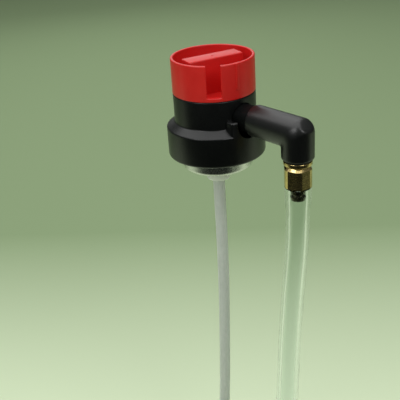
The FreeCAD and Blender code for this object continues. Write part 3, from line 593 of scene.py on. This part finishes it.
RED = red_plastic()
BLACK = black_plastic("black_plastic", 0.32, 0.45)
ELBOW_BLACK = black_plastic("elbow_plastic", 0.34, 0.6)
# A copy of the black plastic with its shine turned down: painted shade for the neck, which the knob and
# barrel shadow.
NECK_SHADED_BLACK = black_plastic("neck_shaded_plastic", 0.5, 0.1)
RUBBER = rubber()
BRASS = brass("brass", (0.46, 0.36, 0.14), (0.74, 0.57, 0.25))
# A near-black copy of the brass: painted shade for the barbed tail, which sits in shadow inside the hose.
SHADED_BRASS = brass("shaded_brass", (0.05, 0.05, 0.03), (0.10, 0.09, 0.05))
TIN = tinplate()
WHITE = white_plastic()
FROSTED = frosted_tube()
CLEAR = clear_hose()
STEEL = spring_steel()


def dress(piece, material):
    """The piece's material."""
    piece.data.materials.clear()
    piece.data.materials.append(material)


def stand_for(piece, node, body, material):
    """The piece takes a node's place on its body."""
    dress(piece, material)
    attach(piece, body)
    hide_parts(node)


# Red knob


def slotted_cup():
    """The knob's cup: a turned wall with the slot left open, floor, lip and underside."""
    inner = KNOB_R - KNOB_WALL
    corners = [
        (0, KNOB_UNDER),
        (KNOB_SPIGOT_R, KNOB_UNDER, 0.2),
        (KNOB_SPIGOT_R, KNOB_BOTTOM),
        (KNOB_R, KNOB_BOTTOM, 0.22),
        (KNOB_R, KNOB_LIP_Z),
        (KNOB_R, KNOB_TOP, 0.42),
        (inner, KNOB_TOP, 0.35),
        (inner, KNOB_LIP_Z),
        (KNOB_LIP_R, KNOB_LIP_Z, 0.2),
        (KNOB_LIP_R, KNOB_FLOOR, 0.2),
        (0, KNOB_FLOOR),
    ]
    points = rounded_outline(corners, False, 5)
    above = [i for i, point in enumerate(points) if point.y >= KNOB_LIP_Z - 1e-6 and point.x > inner - 1e-6]
    first, last = above[0], above[-1]
    half = math.degrees(math.asin(SLOT_WIDTH / 2 / KNOB_R))
    wall_turns, slot_turns = 200, 8
    angles = [half + (360 - 2 * half) * i / wall_turns for i in range(wall_turns + 1)]
    angles += [360 - half + 2 * half * i / slot_turns for i in range(1, slot_turns)]
    built = bmesh.new()
    columns = []
    poles = {}
    for angle in angles:
        column = []
        for i, (r, z) in enumerate(points):
            if r < 1e-6:
                if i not in poles:
                    poles[i] = built.verts.new((0, 0, z))
                column.append(poles[i])
                continue
            turn = math.radians(angle)
            if first <= i <= last and angle in (angles[0], angles[wall_turns]):
                side = math.asin(SLOT_WIDTH / 2 / r)
                turn = side if angle == angles[0] else -side
            column.append(built.verts.new((r * math.cos(turn), r * math.sin(turn), z)))
        columns.append(column)
    for j in range(len(columns)):
        here, there = columns[j], columns[(j + 1) % len(columns)]
        in_slot = j >= wall_turns
        for i in range(len(points) - 1):
            if in_slot and first <= i < last:
                continue
            corners_here = list(dict.fromkeys([here[i], there[i], there[i + 1], here[i + 1]]))
            if len(corners_here) > 2:
                built.faces.new(corners_here)
        if in_slot:
            built.faces.new([here[first], there[first], there[last], here[last]])
    for column in (columns[0], columns[wall_turns]):
        built.faces.new(column[first:last + 1])
    return built


def finger_blade():
    """The finger bar, with soft edges and the small mark where it was filled."""
    half_l, half_t = BLADE_LENGTH / 2, BLADE_THICK / 2
    top = KNOB_TOP - BLADE_DROP
    foot = KNOB_FLOOR - BLADE_DROP
    bar = box_bmesh((-half_l, half_l), (-half_t, half_t), (foot, top), BLADE_ROUND, 4, True)
    for vert in bar.verts:
        share = (top - vert.co.z) / (top - KNOB_FLOOR)
        vert.co.y *= 1 + BLADE_SPREAD * share
        vert.co.x *= 1 + BLADE_STRETCH * share
    mark = turned([(r, top + rise, *rounding) for r, rise, *rounding in GATE_MARK], False, 32, 3)
    return spun(merged([bar, mark]), BLADE_ANGLE)


def pointer_rib():
    """The thin upright rib on the knob's wall."""
    span = (KNOB_R - KNOB_WALL / 2, KNOB_R + POINTER_PROUD)
    rise = (KNOB_TOP - POINTER_DROP - POINTER_LENGTH, KNOB_TOP - POINTER_GAP)
    return spun(box_bmesh(span, (-POINTER_WIDTH / 2, POINTER_WIDTH / 2), rise, 0.2, 3), POINTER_ANGLE)


def snap_hooks():
    """The arms under the knob whose barbs click under the collar's snap ledge."""
    inner, barb, top = HOOK_R - HOOK_WALL, HOOK_R + HOOK_BARB, KNOB_UNDER + EMBED
    corners = [(inner, HOOK_TIP), (HOOK_R, HOOK_TIP), (barb, HOOK_TIP + HOOK_BARB),
               (barb, HOOK_BARB_TOP), (HOOK_R, HOOK_BARB_TOP), (HOOK_R, top), (inner, top)]
    half = HOOK_ARC / 2
    hook_at = [HOOK_ANGLE + 360 / HOOK_COUNT * i for i in range(HOOK_COUNT)]
    return merged([sector(lambda angle: corners, at - half, at + half, 8) for at in hook_at])


def cam_ramps():
    """The ramps under the knob that push the hub down as the knob turns."""
    def section(at):
        def corners(angle):
            fallen = min(max(at - angle, 0), TURN)
            low = CAM_TOP - TRAVEL * fallen / TURN
            high = KNOB_UNDER + EMBED
            return [(CAM_INNER_R, low), (CAM_OUTER_R, low), (CAM_OUTER_R, high), (CAM_INNER_R, high)]
        return corners
    half = LUG_ARC / 2
    ramp_at = [CAM_ANGLE + 360 / CAM_LOBES * i for i in range(CAM_LOBES)]
    return merged([sector(section(at), at - TURN - half, at + half, 34) for at in ramp_at])


def make_knob():
    """The cup in the knob's place, with its blade, rib, hooks and ramps."""
    cup = spun(slotted_cup(), SLOT_ANGLE)
    knob = new_piece("knob_cup", cup, bevel=0.16)
    stand_for(knob, "twist_knob", "knob", RED)
    parts = (("knob_blade", finger_blade()), ("knob_rib", pointer_rib()),
             ("knob_hooks", snap_hooks()), ("knob_ramps", cam_ramps()))
    for name, built in parts:
        piece = new_piece(name, built)
        dress(piece, RED)
        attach(piece, "knob")


# Black collar


def saddle_bmesh():
    """The boxed-out wall round the outlet, flush with the skirt."""
    radius = SKIRT_R - SADDLE_SET_BACK
    reach = math.asin(SADDLE_HALF / radius)
    low, high = LEDGE_Z - SADDLE_SINK, OUTLET_Z - SADDLE_DROP
    angles = [-reach + 2 * reach * i / SADDLE_STEPS for i in range(SADDLE_STEPS + 1)]
    outline = [(BARREL_R - SADDLE_BURIED, -SADDLE_HALF)]
    outline += [(radius * math.cos(angle), radius * math.sin(angle)) for angle in angles]
    outline += [(BARREL_R - SADDLE_BURIED, SADDLE_HALF)]
    built = bmesh.new()
    base = built.faces.new([built.verts.new((x, y, low)) for x, y in outline])
    grown = bmesh.ops.extrude_face_region(built, geom=[base])
    for item in grown["geom"]:
        if isinstance(item, bmesh.types.BMVert):
            item.co.z = high
    edges = [e for e in built.edges if min(v.co.z for v in e.verts) > low + 0.1
             and max(v.co.x for v in e.verts) > BARREL_R]
    corners = [e for e in built.edges if abs(e.verts[0].co.z - e.verts[1].co.z) > 1
               and abs(abs(e.verts[0].co.y) - SADDLE_HALF) < 0.01 and e.verts[0].co.x > BARREL_R]
    bmesh.ops.bevel(built, geom=edges + corners, offset=SADDLE_ROUND, segments=4, affect="EDGES",
                    profile=0.5)
    return built


def window_bmesh():
    """The upright slot that the outlet slides in."""
    radius = NECK_R + OUTLET_CLEAR
    outline = []
    for begin, middle in ((0, OUTLET_Z), (1, OUTLET_Z - TRAVEL)):
        for i in range(WINDOW_STEPS + 1):
            turn = math.pi * (begin + i / WINDOW_STEPS)
            outline.append((radius * math.cos(turn), middle + radius * math.sin(turn)))
    built = bmesh.new()
    base = built.faces.new([built.verts.new((WINDOW_START, y, z)) for y, z in outline])
    grown = bmesh.ops.extrude_face_region(built, geom=[base])
    for item in grown["geom"]:
        if isinstance(item, bmesh.types.BMVert):
            item.co.x = SKIRT_R + 2
    return built


def stop_lugs():
    """The lugs in the barrel's bore that end the knob's turn."""
    root_r, root_z = BARREL_BORE_R + STOP_ROOT, SNAP_LEDGE_LOW + STOP_ROOT
    corners = [(SNAP_LEDGE_R, HOOK_TIP), (root_r, HOOK_TIP), (root_r, root_z), (SNAP_LEDGE_R, root_z)]
    before = HOOK_ANGLE - HOOK_ARC / 2 - STOP_CLEAR - STOP_ARC
    after = HOOK_ANGLE + HOOK_ARC / 2 + STOP_CLEAR + TURN
    starts = [360 / HOOK_COUNT * i + edge for i in range(HOOK_COUNT) for edge in (before, after)]
    return merged([sector(lambda angle: corners, start, start + STOP_ARC, 4) for start in starts])


def make_collar():
    """The shell with its saddle and window, and the deck, spokes and stops inside it."""
    bore = SKIRT_R - WALL
    shell = turned([
        (SKIRT_R, SKIRT_BOTTOM, 1.0),
        (SKIRT_R, LEDGE_Z, 0.7),
        (BARREL_R, BARREL_FOOT, 0.6),
        (BARREL_R, BARREL_TOP, 0.3),
        (BARREL_BORE_R, BARREL_TOP, 0.2),
        (BARREL_BORE_R, SNAP_LEDGE_TOP),
        (SNAP_LEDGE_R, SNAP_LEDGE_TOP - 0.4),
        (SNAP_LEDGE_R, SNAP_LEDGE_LOW),
        (BARREL_BORE_R, SNAP_LEDGE_LOW),
        (BARREL_BORE_R, BARREL_FOOT - 0.56),
        (bore, LEDGE_Z - SADDLE_SINK),
        (bore, BEAD_TOP),
        (bore - BEAD_PROUD, BEAD_HIGH, 0.1),
        (bore - BEAD_PROUD, BEAD_LOW, 0.1),
        (bore, SKIRT_BOTTOM, 0.15),
    ], True, 192, 5)
    body = cut_with(shell, saddle_bmesh(), "UNION")
    body = cut_with(body, window_bmesh(), "DIFFERENCE")
    collar = new_piece("collar_shell", body)
    stand_for(collar, "collar_body", "can_valve", BLACK)
    root = bore + WALL_BITE
    deck = new_piece("collar_deck", turned([
        (GUIDE_BORE_R, DECK_LOW),
        (root, DECK_LOW),
        (root, DECK_TOP),
        (GUIDE_R, DECK_TOP, 0.3),
        (GUIDE_R, GUIDE_TOP, 0.2),
        (GUIDE_BORE_R, GUIDE_TOP),
    ], True, 96))
    dress(deck, BLACK)
    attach(deck, "can_valve")
    spans = (SPOKE_INNER_R, root), (-SPOKE_THICK / 2, SPOKE_THICK / 2), (SPOKE_LOW, SPOKE_TOP)
    ribs = merged([spun(box_bmesh(*spans), 360 / SPOKE_COUNT * (i + 0.5)) for i in range(SPOKE_COUNT)])
    for name, built in (("collar_ribs", ribs), ("collar_stops", stop_lugs())):
        piece = new_piece(name, built)
        dress(piece, BLACK)
        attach(piece, "can_valve")


# Outlet elbow


def elbow_point(share, out):
    """A point of the corner in the outlet's plane. share runs from -1 on the arm to 1 on the barrel."""
    outward = (out + OUTLET_R) / (2 * OUTLET_R)
    rounding = ELBOW_INNER_ROUND + (ELBOW_OUTER_ROUND - ELBOW_INNER_ROUND) * outward
    along = share * (rounding + 1.5 * outward + 0.2)
    if along < -rounding:
        return OUTLET_REACH + out + along, OUTLET_Z + out
    if along > rounding:
        return OUTLET_REACH + out, OUTLET_Z + out - along
    turn = (along / rounding + 1) * math.pi / 4
    x = OUTLET_REACH + out - rounding + rounding * math.sin(turn)
    return x, OUTLET_Z + out - rounding + rounding * math.cos(turn)


def soften_facet(built):
    """Presses the outer corner back to a flat oval with a soft rim."""
    face_at = ELBOW_FACET * OUTLET_R / math.sqrt(2)
    low = face_at - ELBOW_SOFT
    for vert in built.verts:
        reach = (vert.co.x - OUTLET_REACH + vert.co.z - OUTLET_Z) / math.sqrt(2)
        if reach > low:
            pressed = low + ELBOW_SOFT * (1 - math.exp((low - reach) / ELBOW_SOFT))
            step = (pressed - reach) / math.sqrt(2)
            vert.co.x += step
            vert.co.z += step


def make_elbow():
    """The neck, arm, corner and barrel as one bent tube."""
    turns, half_steps = 128, 20
    built = bmesh.new()
    rows = []

    def ring(place):
        row = []
        for j in range(turns):
            turn = 2 * math.pi * j / turns
            x, y, z = place(math.sin(turn), math.cos(turn))
            row.append(built.verts.new((x, y, z)))
        rows.append(row)

    arm = rounded_outline([(ARM_START, NECK_R - 0.5), (ARM_START, OUTLET_R, ARM_ROUND),
                           (ARM_START + 4, OUTLET_R)], False, 6)
    for x, radius in arm:
        ring(lambda across, out: (x, radius * across, OUTLET_Z + radius * out))
    for i in range(-half_steps, half_steps + 1):
        def corner(across, out):
            x, z = elbow_point(i / half_steps, OUTLET_R * out)
            return x, OUTLET_R * across, z
        ring(corner)
    end = rounded_outline([(OUTLET_R, ELBOW_BOTTOM + 1), (OUTLET_R, ELBOW_BOTTOM, 0.4),
                           (OUTLET_R - 1, ELBOW_BOTTOM)], False, 4)
    for radius, z in end:
        ring(lambda across, out: (OUTLET_REACH + radius * out, radius * across, z))
    for here, there in zip(rows, rows[1:]):
        for j in range(turns):
            k = (j + 1) % turns
            built.faces.new([here[j], here[k], there[k], there[j]])
    built.faces.new(rows[0])
    built.faces.new(rows[-1])
    soften_facet(built)
    elbow = new_piece("elbow_shell", built, sharp=50)
    stand_for(elbow, "outlet_elbow", "outlet", ELBOW_BLACK)
    neck = turned([(0, OUTLET_START), (NECK_R, OUTLET_START, 0.3), (NECK_R, ARM_START + 0.5),
                   (0, ARM_START + 0.5)], False, 96)
    neck.transform(Matrix.Translation((0, 0, OUTLET_Z)) @ Matrix.Rotation(math.pi / 2, 4, "Y"))
    # The neck wears the dulled black copy: painted shade.
    piece = new_piece("elbow_neck", neck)
    dress(piece, NECK_SHADED_BLACK)
    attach(piece, "outlet")


# Brass fitting


def hex_reach(r, z, angle):
    """A turned outline's radius, kept inside a hexagon that has a corner towards the camera."""
    across = (angle - math.radians(HEX_TURN)) % (math.pi / 3) - math.pi / 6
    return min(r, HEX_FLATS / 2 / math.cos(across))


def make_fitting():
    """The hexagon with its flange, the barbed tail, and the ring above."""
    flats = turned([
        (0, HEX_BOTTOM),
        (HEX_CORNER_R - HEX_LOW_BEVEL, HEX_BOTTOM),
        (HEX_CORNER_R, HEX_BOTTOM + 0.5),
        (HEX_CORNER_R, HEX_TOP - 1.2),
        (HEX_CORNER_R - HEX_TOP_BEVEL, HEX_TOP - 0.2),
        (HEX_CORNER_R - HEX_TOP_BEVEL, HEX_TOP + 0.2),
        (0, HEX_TOP + 0.2),
    ], False, 144, 3, hex_reach)
    flange = turned([
        (0, HEX_TOP),
        (FITTING_FLANGE_R - 0.3, HEX_TOP, 0.1),
        (FITTING_FLANGE_R, HEX_TOP + 0.3, 0.15),
        (FITTING_FLANGE_R, FLANGE_TOP, 0.25),
        (THREAD_FOOT_R, FLANGE_TOP),
        (THREAD_R, FLANGE_TOP + THREAD_LENGTH),
        (0, FLANGE_TOP + THREAD_LENGTH),
    ], False, 96)
    step = (HEX_BOTTOM - BARB_TIP) / 2
    tail = turned([
        (FITTING_BORE_R, HEX_BOTTOM + 0.5),
        (BARB_ROOT_R, HEX_BOTTOM + 0.5),
        (BARB_ROOT_R, HEX_BOTTOM - 0.2 * step),
        (BARB_R, HEX_BOTTOM - 0.35 * step, 0.06),
        (BARB_ROOT_R, HEX_BOTTOM - step),
        (BARB_R, HEX_BOTTOM - 1.35 * step, 0.06),
        (BARB_ROOT_R, BARB_TIP, 0.15),
        (FITTING_BORE_R, BARB_TIP, 0.15),
    ], True, 64)
    fitting = new_piece("fitting_brass", merged([flats, flange]), (OUTLET_REACH, 0, 0), sharp=12)
    stand_for(fitting, "hose_fitting", "outlet", BRASS)
    # The tail wears the near-black brass copy: painted shade.
    piece = new_piece("fitting_tail", tail, (OUTLET_REACH, 0, 0), sharp=30)
    dress(piece, SHADED_BRASS)
    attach(piece, "outlet")
    ring = turned([
        (SEAL_BORE_R, FLANGE_TOP),
        (FITTING_SEAL_R, FLANGE_TOP, 0.25),
        (FITTING_SEAL_R, ELBOW_BOTTOM, 0.2),
        (SEAL_BORE_R, ELBOW_BOTTOM),
    ])
    seal = new_piece("fitting_ring", ring, (OUTLET_REACH, 0, 0))
    stand_for(seal, "fitting_seal", "outlet", RUBBER)


# Hose


def spline_line(route, name):
    """Points read from the route's own smooth NURBS line, in metres."""
    curve = bpy.data.curves.new(name, "CURVE")
    curve.dimensions = "3D"
    curve.resolution_u = 12
    spline = curve.splines.new("NURBS")
    spline.points.add(len(route) - 1)
    for point, place in zip(spline.points, route):
        point.co = (*(place * MM), 1)
    spline.order_u = 3
    spline.use_endpoint_u = True
    item = bpy.data.objects.new(name, curve)
    bpy.context.scene.collection.objects.link(item)
    line_mesh = bpy.data.meshes.new_from_object(item)
    line = [vert.co.copy() for vert in line_mesh.vertices]
    bpy.data.objects.remove(item)
    bpy.data.meshes.remove(line_mesh)
    return line


def tube_along(line, profile_at, turns=64):
    """A closed tube along points in metres. profile_at gives (outer, inner) in mm at a distance in mm."""
    built = bmesh.new()
    rings = []
    travelled = 0.0
    for i, here in enumerate(line):
        before, after = line[max(i - 1, 0)], line[min(i + 1, len(line) - 1)]
        along = (after - before).normalized()
        side = along.cross(Vector((0, 1, 0))).normalized()
        other = along.cross(side)
        travelled += (here - line[i - 1]).length / MM if i else 0.0
        outer, inner = profile_at(travelled)
        rows = []
        for radius in (outer, inner):
            row = []
            for j in range(turns):
                turn = 2 * math.pi * j / turns
                offset = side * math.cos(turn) + other * math.sin(turn)
                row.append(built.verts.new(here / MM + offset * radius))
            rows.append(row)
        rings.append(rows)
    for (outer_a, inner_a), (outer_b, inner_b) in zip(rings, rings[1:]):
        for j in range(turns):
            k = (j + 1) % turns
            built.faces.new([outer_a[j], outer_a[k], outer_b[k], outer_b[j]])
            built.faces.new([inner_a[j], inner_b[j], inner_b[k], inner_a[k]])
    for outer, inner in (rings[0], rings[-1]):
        for j in range(turns):
            k = (j + 1) % turns
            built.faces.new([outer[j], inner[j], inner[k], outer[k]])
    return built


def make_hose(chuck_pieces):
    """The hose along its route, a little wider where it goes over the two barbed tails."""
    route = [HOSE_START + Vector(offset) for offset in HOSE_ROUTE]
    line = spline_line(route, "hose_line")
    fine = []
    for a, b in zip(line, line[1:]):
        fine += [a.lerp(b, i / LINE_SPLIT) for i in range(LINE_SPLIT)]
    fine.append(line[-1])
    total = sum((b - a).length for a, b in zip(fine, fine[1:])) / MM

    def profile_at(distance):
        swell = HOSE_FLARE * (1 - smooth_step(FLARE_FULL, FLARE_END, distance))
        swell += HOSE_FLARE * smooth_step(total - CHUCK_FLARE_END, total - CHUCK_FLARE_FULL, distance)
        return HOSE_R + swell, HOSE_BORE_R + swell * 0.5

    hose = new_piece("clear_hose", tube_along(fine, profile_at), sharp=60)
    stand_for(hose, "hose", "outlet", CLEAR)


def smooth_step(low, high, value):
    """0 below low and 1 above high, smooth between."""
    t = min(max((value - low) / (high - low), 0), 1)
    return t * t * (3 - 2 * t)


# Chuck at the hose's far end


def make_chuck():
    """The fluted nut. Gives it and the CAD pieces that go with it on the hose's end."""
    top, bottom = NUT_TOP, NUT_LOW.z - CHUCK_PLACE.z

    def fluted(r, z, angle):
        if r < FLUTE_LEAST_R or not bottom + FLUTE_START < z < top - FLUTE_START:
            return r
        across = (angle * FLUTES / (2 * math.pi)) % 1 - 0.5
        fade = smooth_step(bottom + FLUTE_START, bottom + FLUTE_FULL, z)
        fade *= 1 - smooth_step(top - FLUTE_FULL, top - FLUTE_START, z)
        return r - FLUTE_DEPTH * math.exp(-(across / FLUTE_SPREAD) ** 2) * fade

    fluted_height = top - bottom - 2 * FLUTE_EDGE
    outline = [
        (NUT_NECK_R, top),
        (NUT_NECK_R, top - NUT_NECK_DEPTH),
        (NUT_SEAT_R, top - NUT_NECK_DEPTH, 0.2),
        (NUT_SEAT_R, top - NUT_SEAT_DEPTH),
        (NUT_THREAD_R, top - NUT_THREAD_DEPTH),
        (NUT_THREAD_R, bottom, 0.3),
        (NUT_R, bottom, 0.6),
    ]
    outline += [(NUT_R, bottom + FLUTE_EDGE + fluted_height * i / FLUTE_ROWS) for i in range(FLUTE_ROWS + 1)]
    outline += [(NUT_R, top, 0.7)]
    nut = new_piece("chuck_shell", turned(outline, True, 192, 4, fluted), CHUCK_PLACE)
    stand_for(nut, "chuck_nut", "chuck_nut", BRASS)
    return [nut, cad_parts["chuck_tail"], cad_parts["chuck_seal"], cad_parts["core_pin"]]


# Crimp-on cup


def make_cup():
    """The drawn cup as thin sheet: curl, skirt, well, pedestal."""
    half = CUP_SHEET / 2
    left, right = [], []
    for i, (r, z, bend) in enumerate(CUP_LINE):
        here = Vector((r, z))
        before = (here - Vector(CUP_LINE[i - 1][:2])).normalized() if i else None
        after = (Vector(CUP_LINE[i + 1][:2]) - here).normalized() if i + 1 < len(CUP_LINE) else before
        before = before or after
        normal_a, normal_b = Vector((-before.y, before.x)), Vector((-after.y, after.x))
        mitre = (normal_a + normal_b).normalized()
        reach = half / mitre.dot(normal_b)
        grow = -half if normal_a.dot(after) > 0 else half
        left.append((*(here + mitre * reach), bend + grow if bend else 0))
        right.append((*(here - mitre * reach), bend - grow if bend else 0))
    cup = new_piece("cup_sheet", turned(left + right[::-1], True, 160, 6))
    stand_for(cup, "mounting_cup", "can_valve", TIN)


def dress_nodes():
    """Materials of the CAD pieces that show as they are."""
    finishes = {
        "nozzle_hub": (BLACK, "black_plastic"),
        "spigot_seal": (RUBBER, "black_rubber"),
        "chuck_tail": (BRASS, "fitting_brass"),
        "chuck_seal": (RUBBER, "black_rubber"),
        "core_pin": (BRASS, "fitting_brass"),
        "cup_gasket": (RUBBER, "black_rubber"),
        "stem_gasket": (RUBBER, "black_rubber"),
        "valve_stem": (WHITE, "white_plastic"),
        "valve_spring": (STEEL, "spring_steel"),
        "valve_housing": (WHITE, "white_plastic"),
        "dip_tube": (FROSTED, "frosted_tube"),
    }
    for node, (material, slot) in finishes.items():
        dress(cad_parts[node], material)


# Camera, light and floor


def make_camera():
    """The photograph's viewpoint, turned back from the part's azimuth."""
    yaw, pitch = math.radians(CAMERA_YAW), math.radians(CAMERA_PITCH)
    roll, azimuth = math.radians(CAMERA_ROLL), math.radians(CAMERA_AZIMUTH)
    ahead = Vector((math.sin(yaw) * math.cos(pitch), math.cos(yaw) * math.cos(pitch), -math.sin(pitch)))
    level = ahead.cross(Vector((0, 0, 1))).normalized()
    upright = level.cross(ahead)
    right = level * math.cos(roll) + upright * math.sin(roll)
    up = upright * math.cos(roll) - level * math.sin(roll)
    turn = Matrix.Rotation(azimuth, 3, "Z")
    axes = Matrix((turn @ right, turn @ up, turn @ -ahead)).transposed()
    lens = bpy.data.cameras.new("camera")
    lens.lens = CAMERA_LENS
    lens.sensor_width = SENSOR
    lens.clip_start = 0.01
    camera = bpy.data.objects.new("camera", lens)
    camera.matrix_world = Matrix.Translation(Vector(CAMERA_PLACE) * MM) @ axes.to_4x4()
    bpy.context.scene.collection.objects.link(camera)
    bpy.context.scene.camera = camera


def area_light(name, place, size, power):
    """A round soft lamp that points at the part's origin."""
    lamp = bpy.data.lights.new(name, "AREA")
    lamp.shape = "DISK"
    lamp.size = size
    lamp.energy = power
    item = bpy.data.objects.new(name, lamp)
    item.location = place
    item.rotation_euler = (-place).to_track_quat("-Z", "Y").to_euler()
    bpy.context.scene.collection.objects.link(item)


def floor_material():
    """A pale green floor whose colour carries painted light falloff, dimmer behind the object, and a painted
    dark reflection in front of it that only glossy rays see.
    """
    material, tree, surface = shader("floor", (0.5, 0.6, 0.4), 0.85, specular=0.05)
    place = tree.nodes.new("ShaderNodeTexCoord")
    mapping = tree.nodes.new("ShaderNodeMapping")
    mapping.inputs["Rotation"].default_value = (0, 0, -math.radians(CAMERA_AZIMUTH + 90 + CAMERA_YAW))
    tree.links.new(place.outputs["Object"], mapping.inputs["Vector"])
    split = tree.nodes.new("ShaderNodeSeparateXYZ")
    tree.links.new(mapping.outputs["Vector"], split.inputs["Vector"])
    away = spread_value(tree, split.outputs["X"], FLOOR_NEAR, FLOOR_FAR)
    # Painted light falloff: the floor's colour goes from bright near the camera's side to dim behind the
    # object.
    sweep = tree.nodes.new("ShaderNodeValToRGB")
    sweep.color_ramp.elements[0].color = (*FLOOR_PAINTED_LIGHT, 1)
    sweep.color_ramp.elements[1].color = (*FLOOR_PAINTED_SHADE, 1)
    tree.links.new(away, sweep.inputs["Fac"])
    # Painted dark reflection: glossy rays see the floor in front of the object near-black.
    front = tree.nodes.new("ShaderNodeMix")
    front.data_type = "RGBA"
    front.inputs["A"].default_value = (*GLOSSY_PAINTED_DARK, 1)
    tree.links.new(sweep.outputs["Color"], front.inputs["B"])
    ahead = spread_value(tree, split.outputs["X"], GLOSSY_NEAR, GLOSSY_FAR)
    tree.links.new(ahead, front.inputs["Factor"])
    rays = tree.nodes.new("ShaderNodeLightPath")
    seen = tree.nodes.new("ShaderNodeMix")
    seen.data_type = "RGBA"
    tree.links.new(rays.outputs["Is Glossy Ray"], seen.inputs["Factor"])
    tree.links.new(sweep.outputs["Color"], seen.inputs["A"])
    tree.links.new(front.outputs["Result"], seen.inputs["B"])
    tree.links.new(seen.outputs["Result"], surface.inputs["Base Color"])
    return material


def spread_value(tree, value, low, high):
    """A value between low and high as 0 to 1."""
    spread = tree.nodes.new("ShaderNodeMapRange")
    spread.inputs["From Min"].default_value = low
    spread.inputs["From Max"].default_value = high
    tree.links.new(value, spread.inputs["Value"])
    return spread.outputs["Result"]


def make_stage():
    """The floor, the dim world and the lamps."""
    floor_z = DIP_LOW.z - FLOOR_DROP
    bpy.ops.mesh.primitive_plane_add(size=FLOOR_SIZE, location=(0, 0, floor_z * MM))
    floor = bpy.context.object
    floor.name = "floor"
    floor.data.materials.append(floor_material())
    world = bpy.data.worlds.new("world")
    world.use_nodes = True
    world.node_tree.nodes["Background"].inputs["Color"].default_value = (*WORLD_COLOUR, 1)
    world.node_tree.nodes["Background"].inputs["Strength"].default_value = WORLD_STRENGTH
    bpy.context.scene.world = world
    for name, (away, right, up), size, power in LIGHTS:
        turn = Matrix.Rotation(math.radians(CAMERA_AZIMUTH), 3, "Z")
        area_light(name, turn @ Vector((right, away, up)), size, power)


make_camera()
make_knob()
make_collar()
make_elbow()
make_fitting()
make_cup()
make_hose(make_chuck())
dress_nodes()
make_stage()
bpy.context.scene.view_settings.view_transform = "Standard"
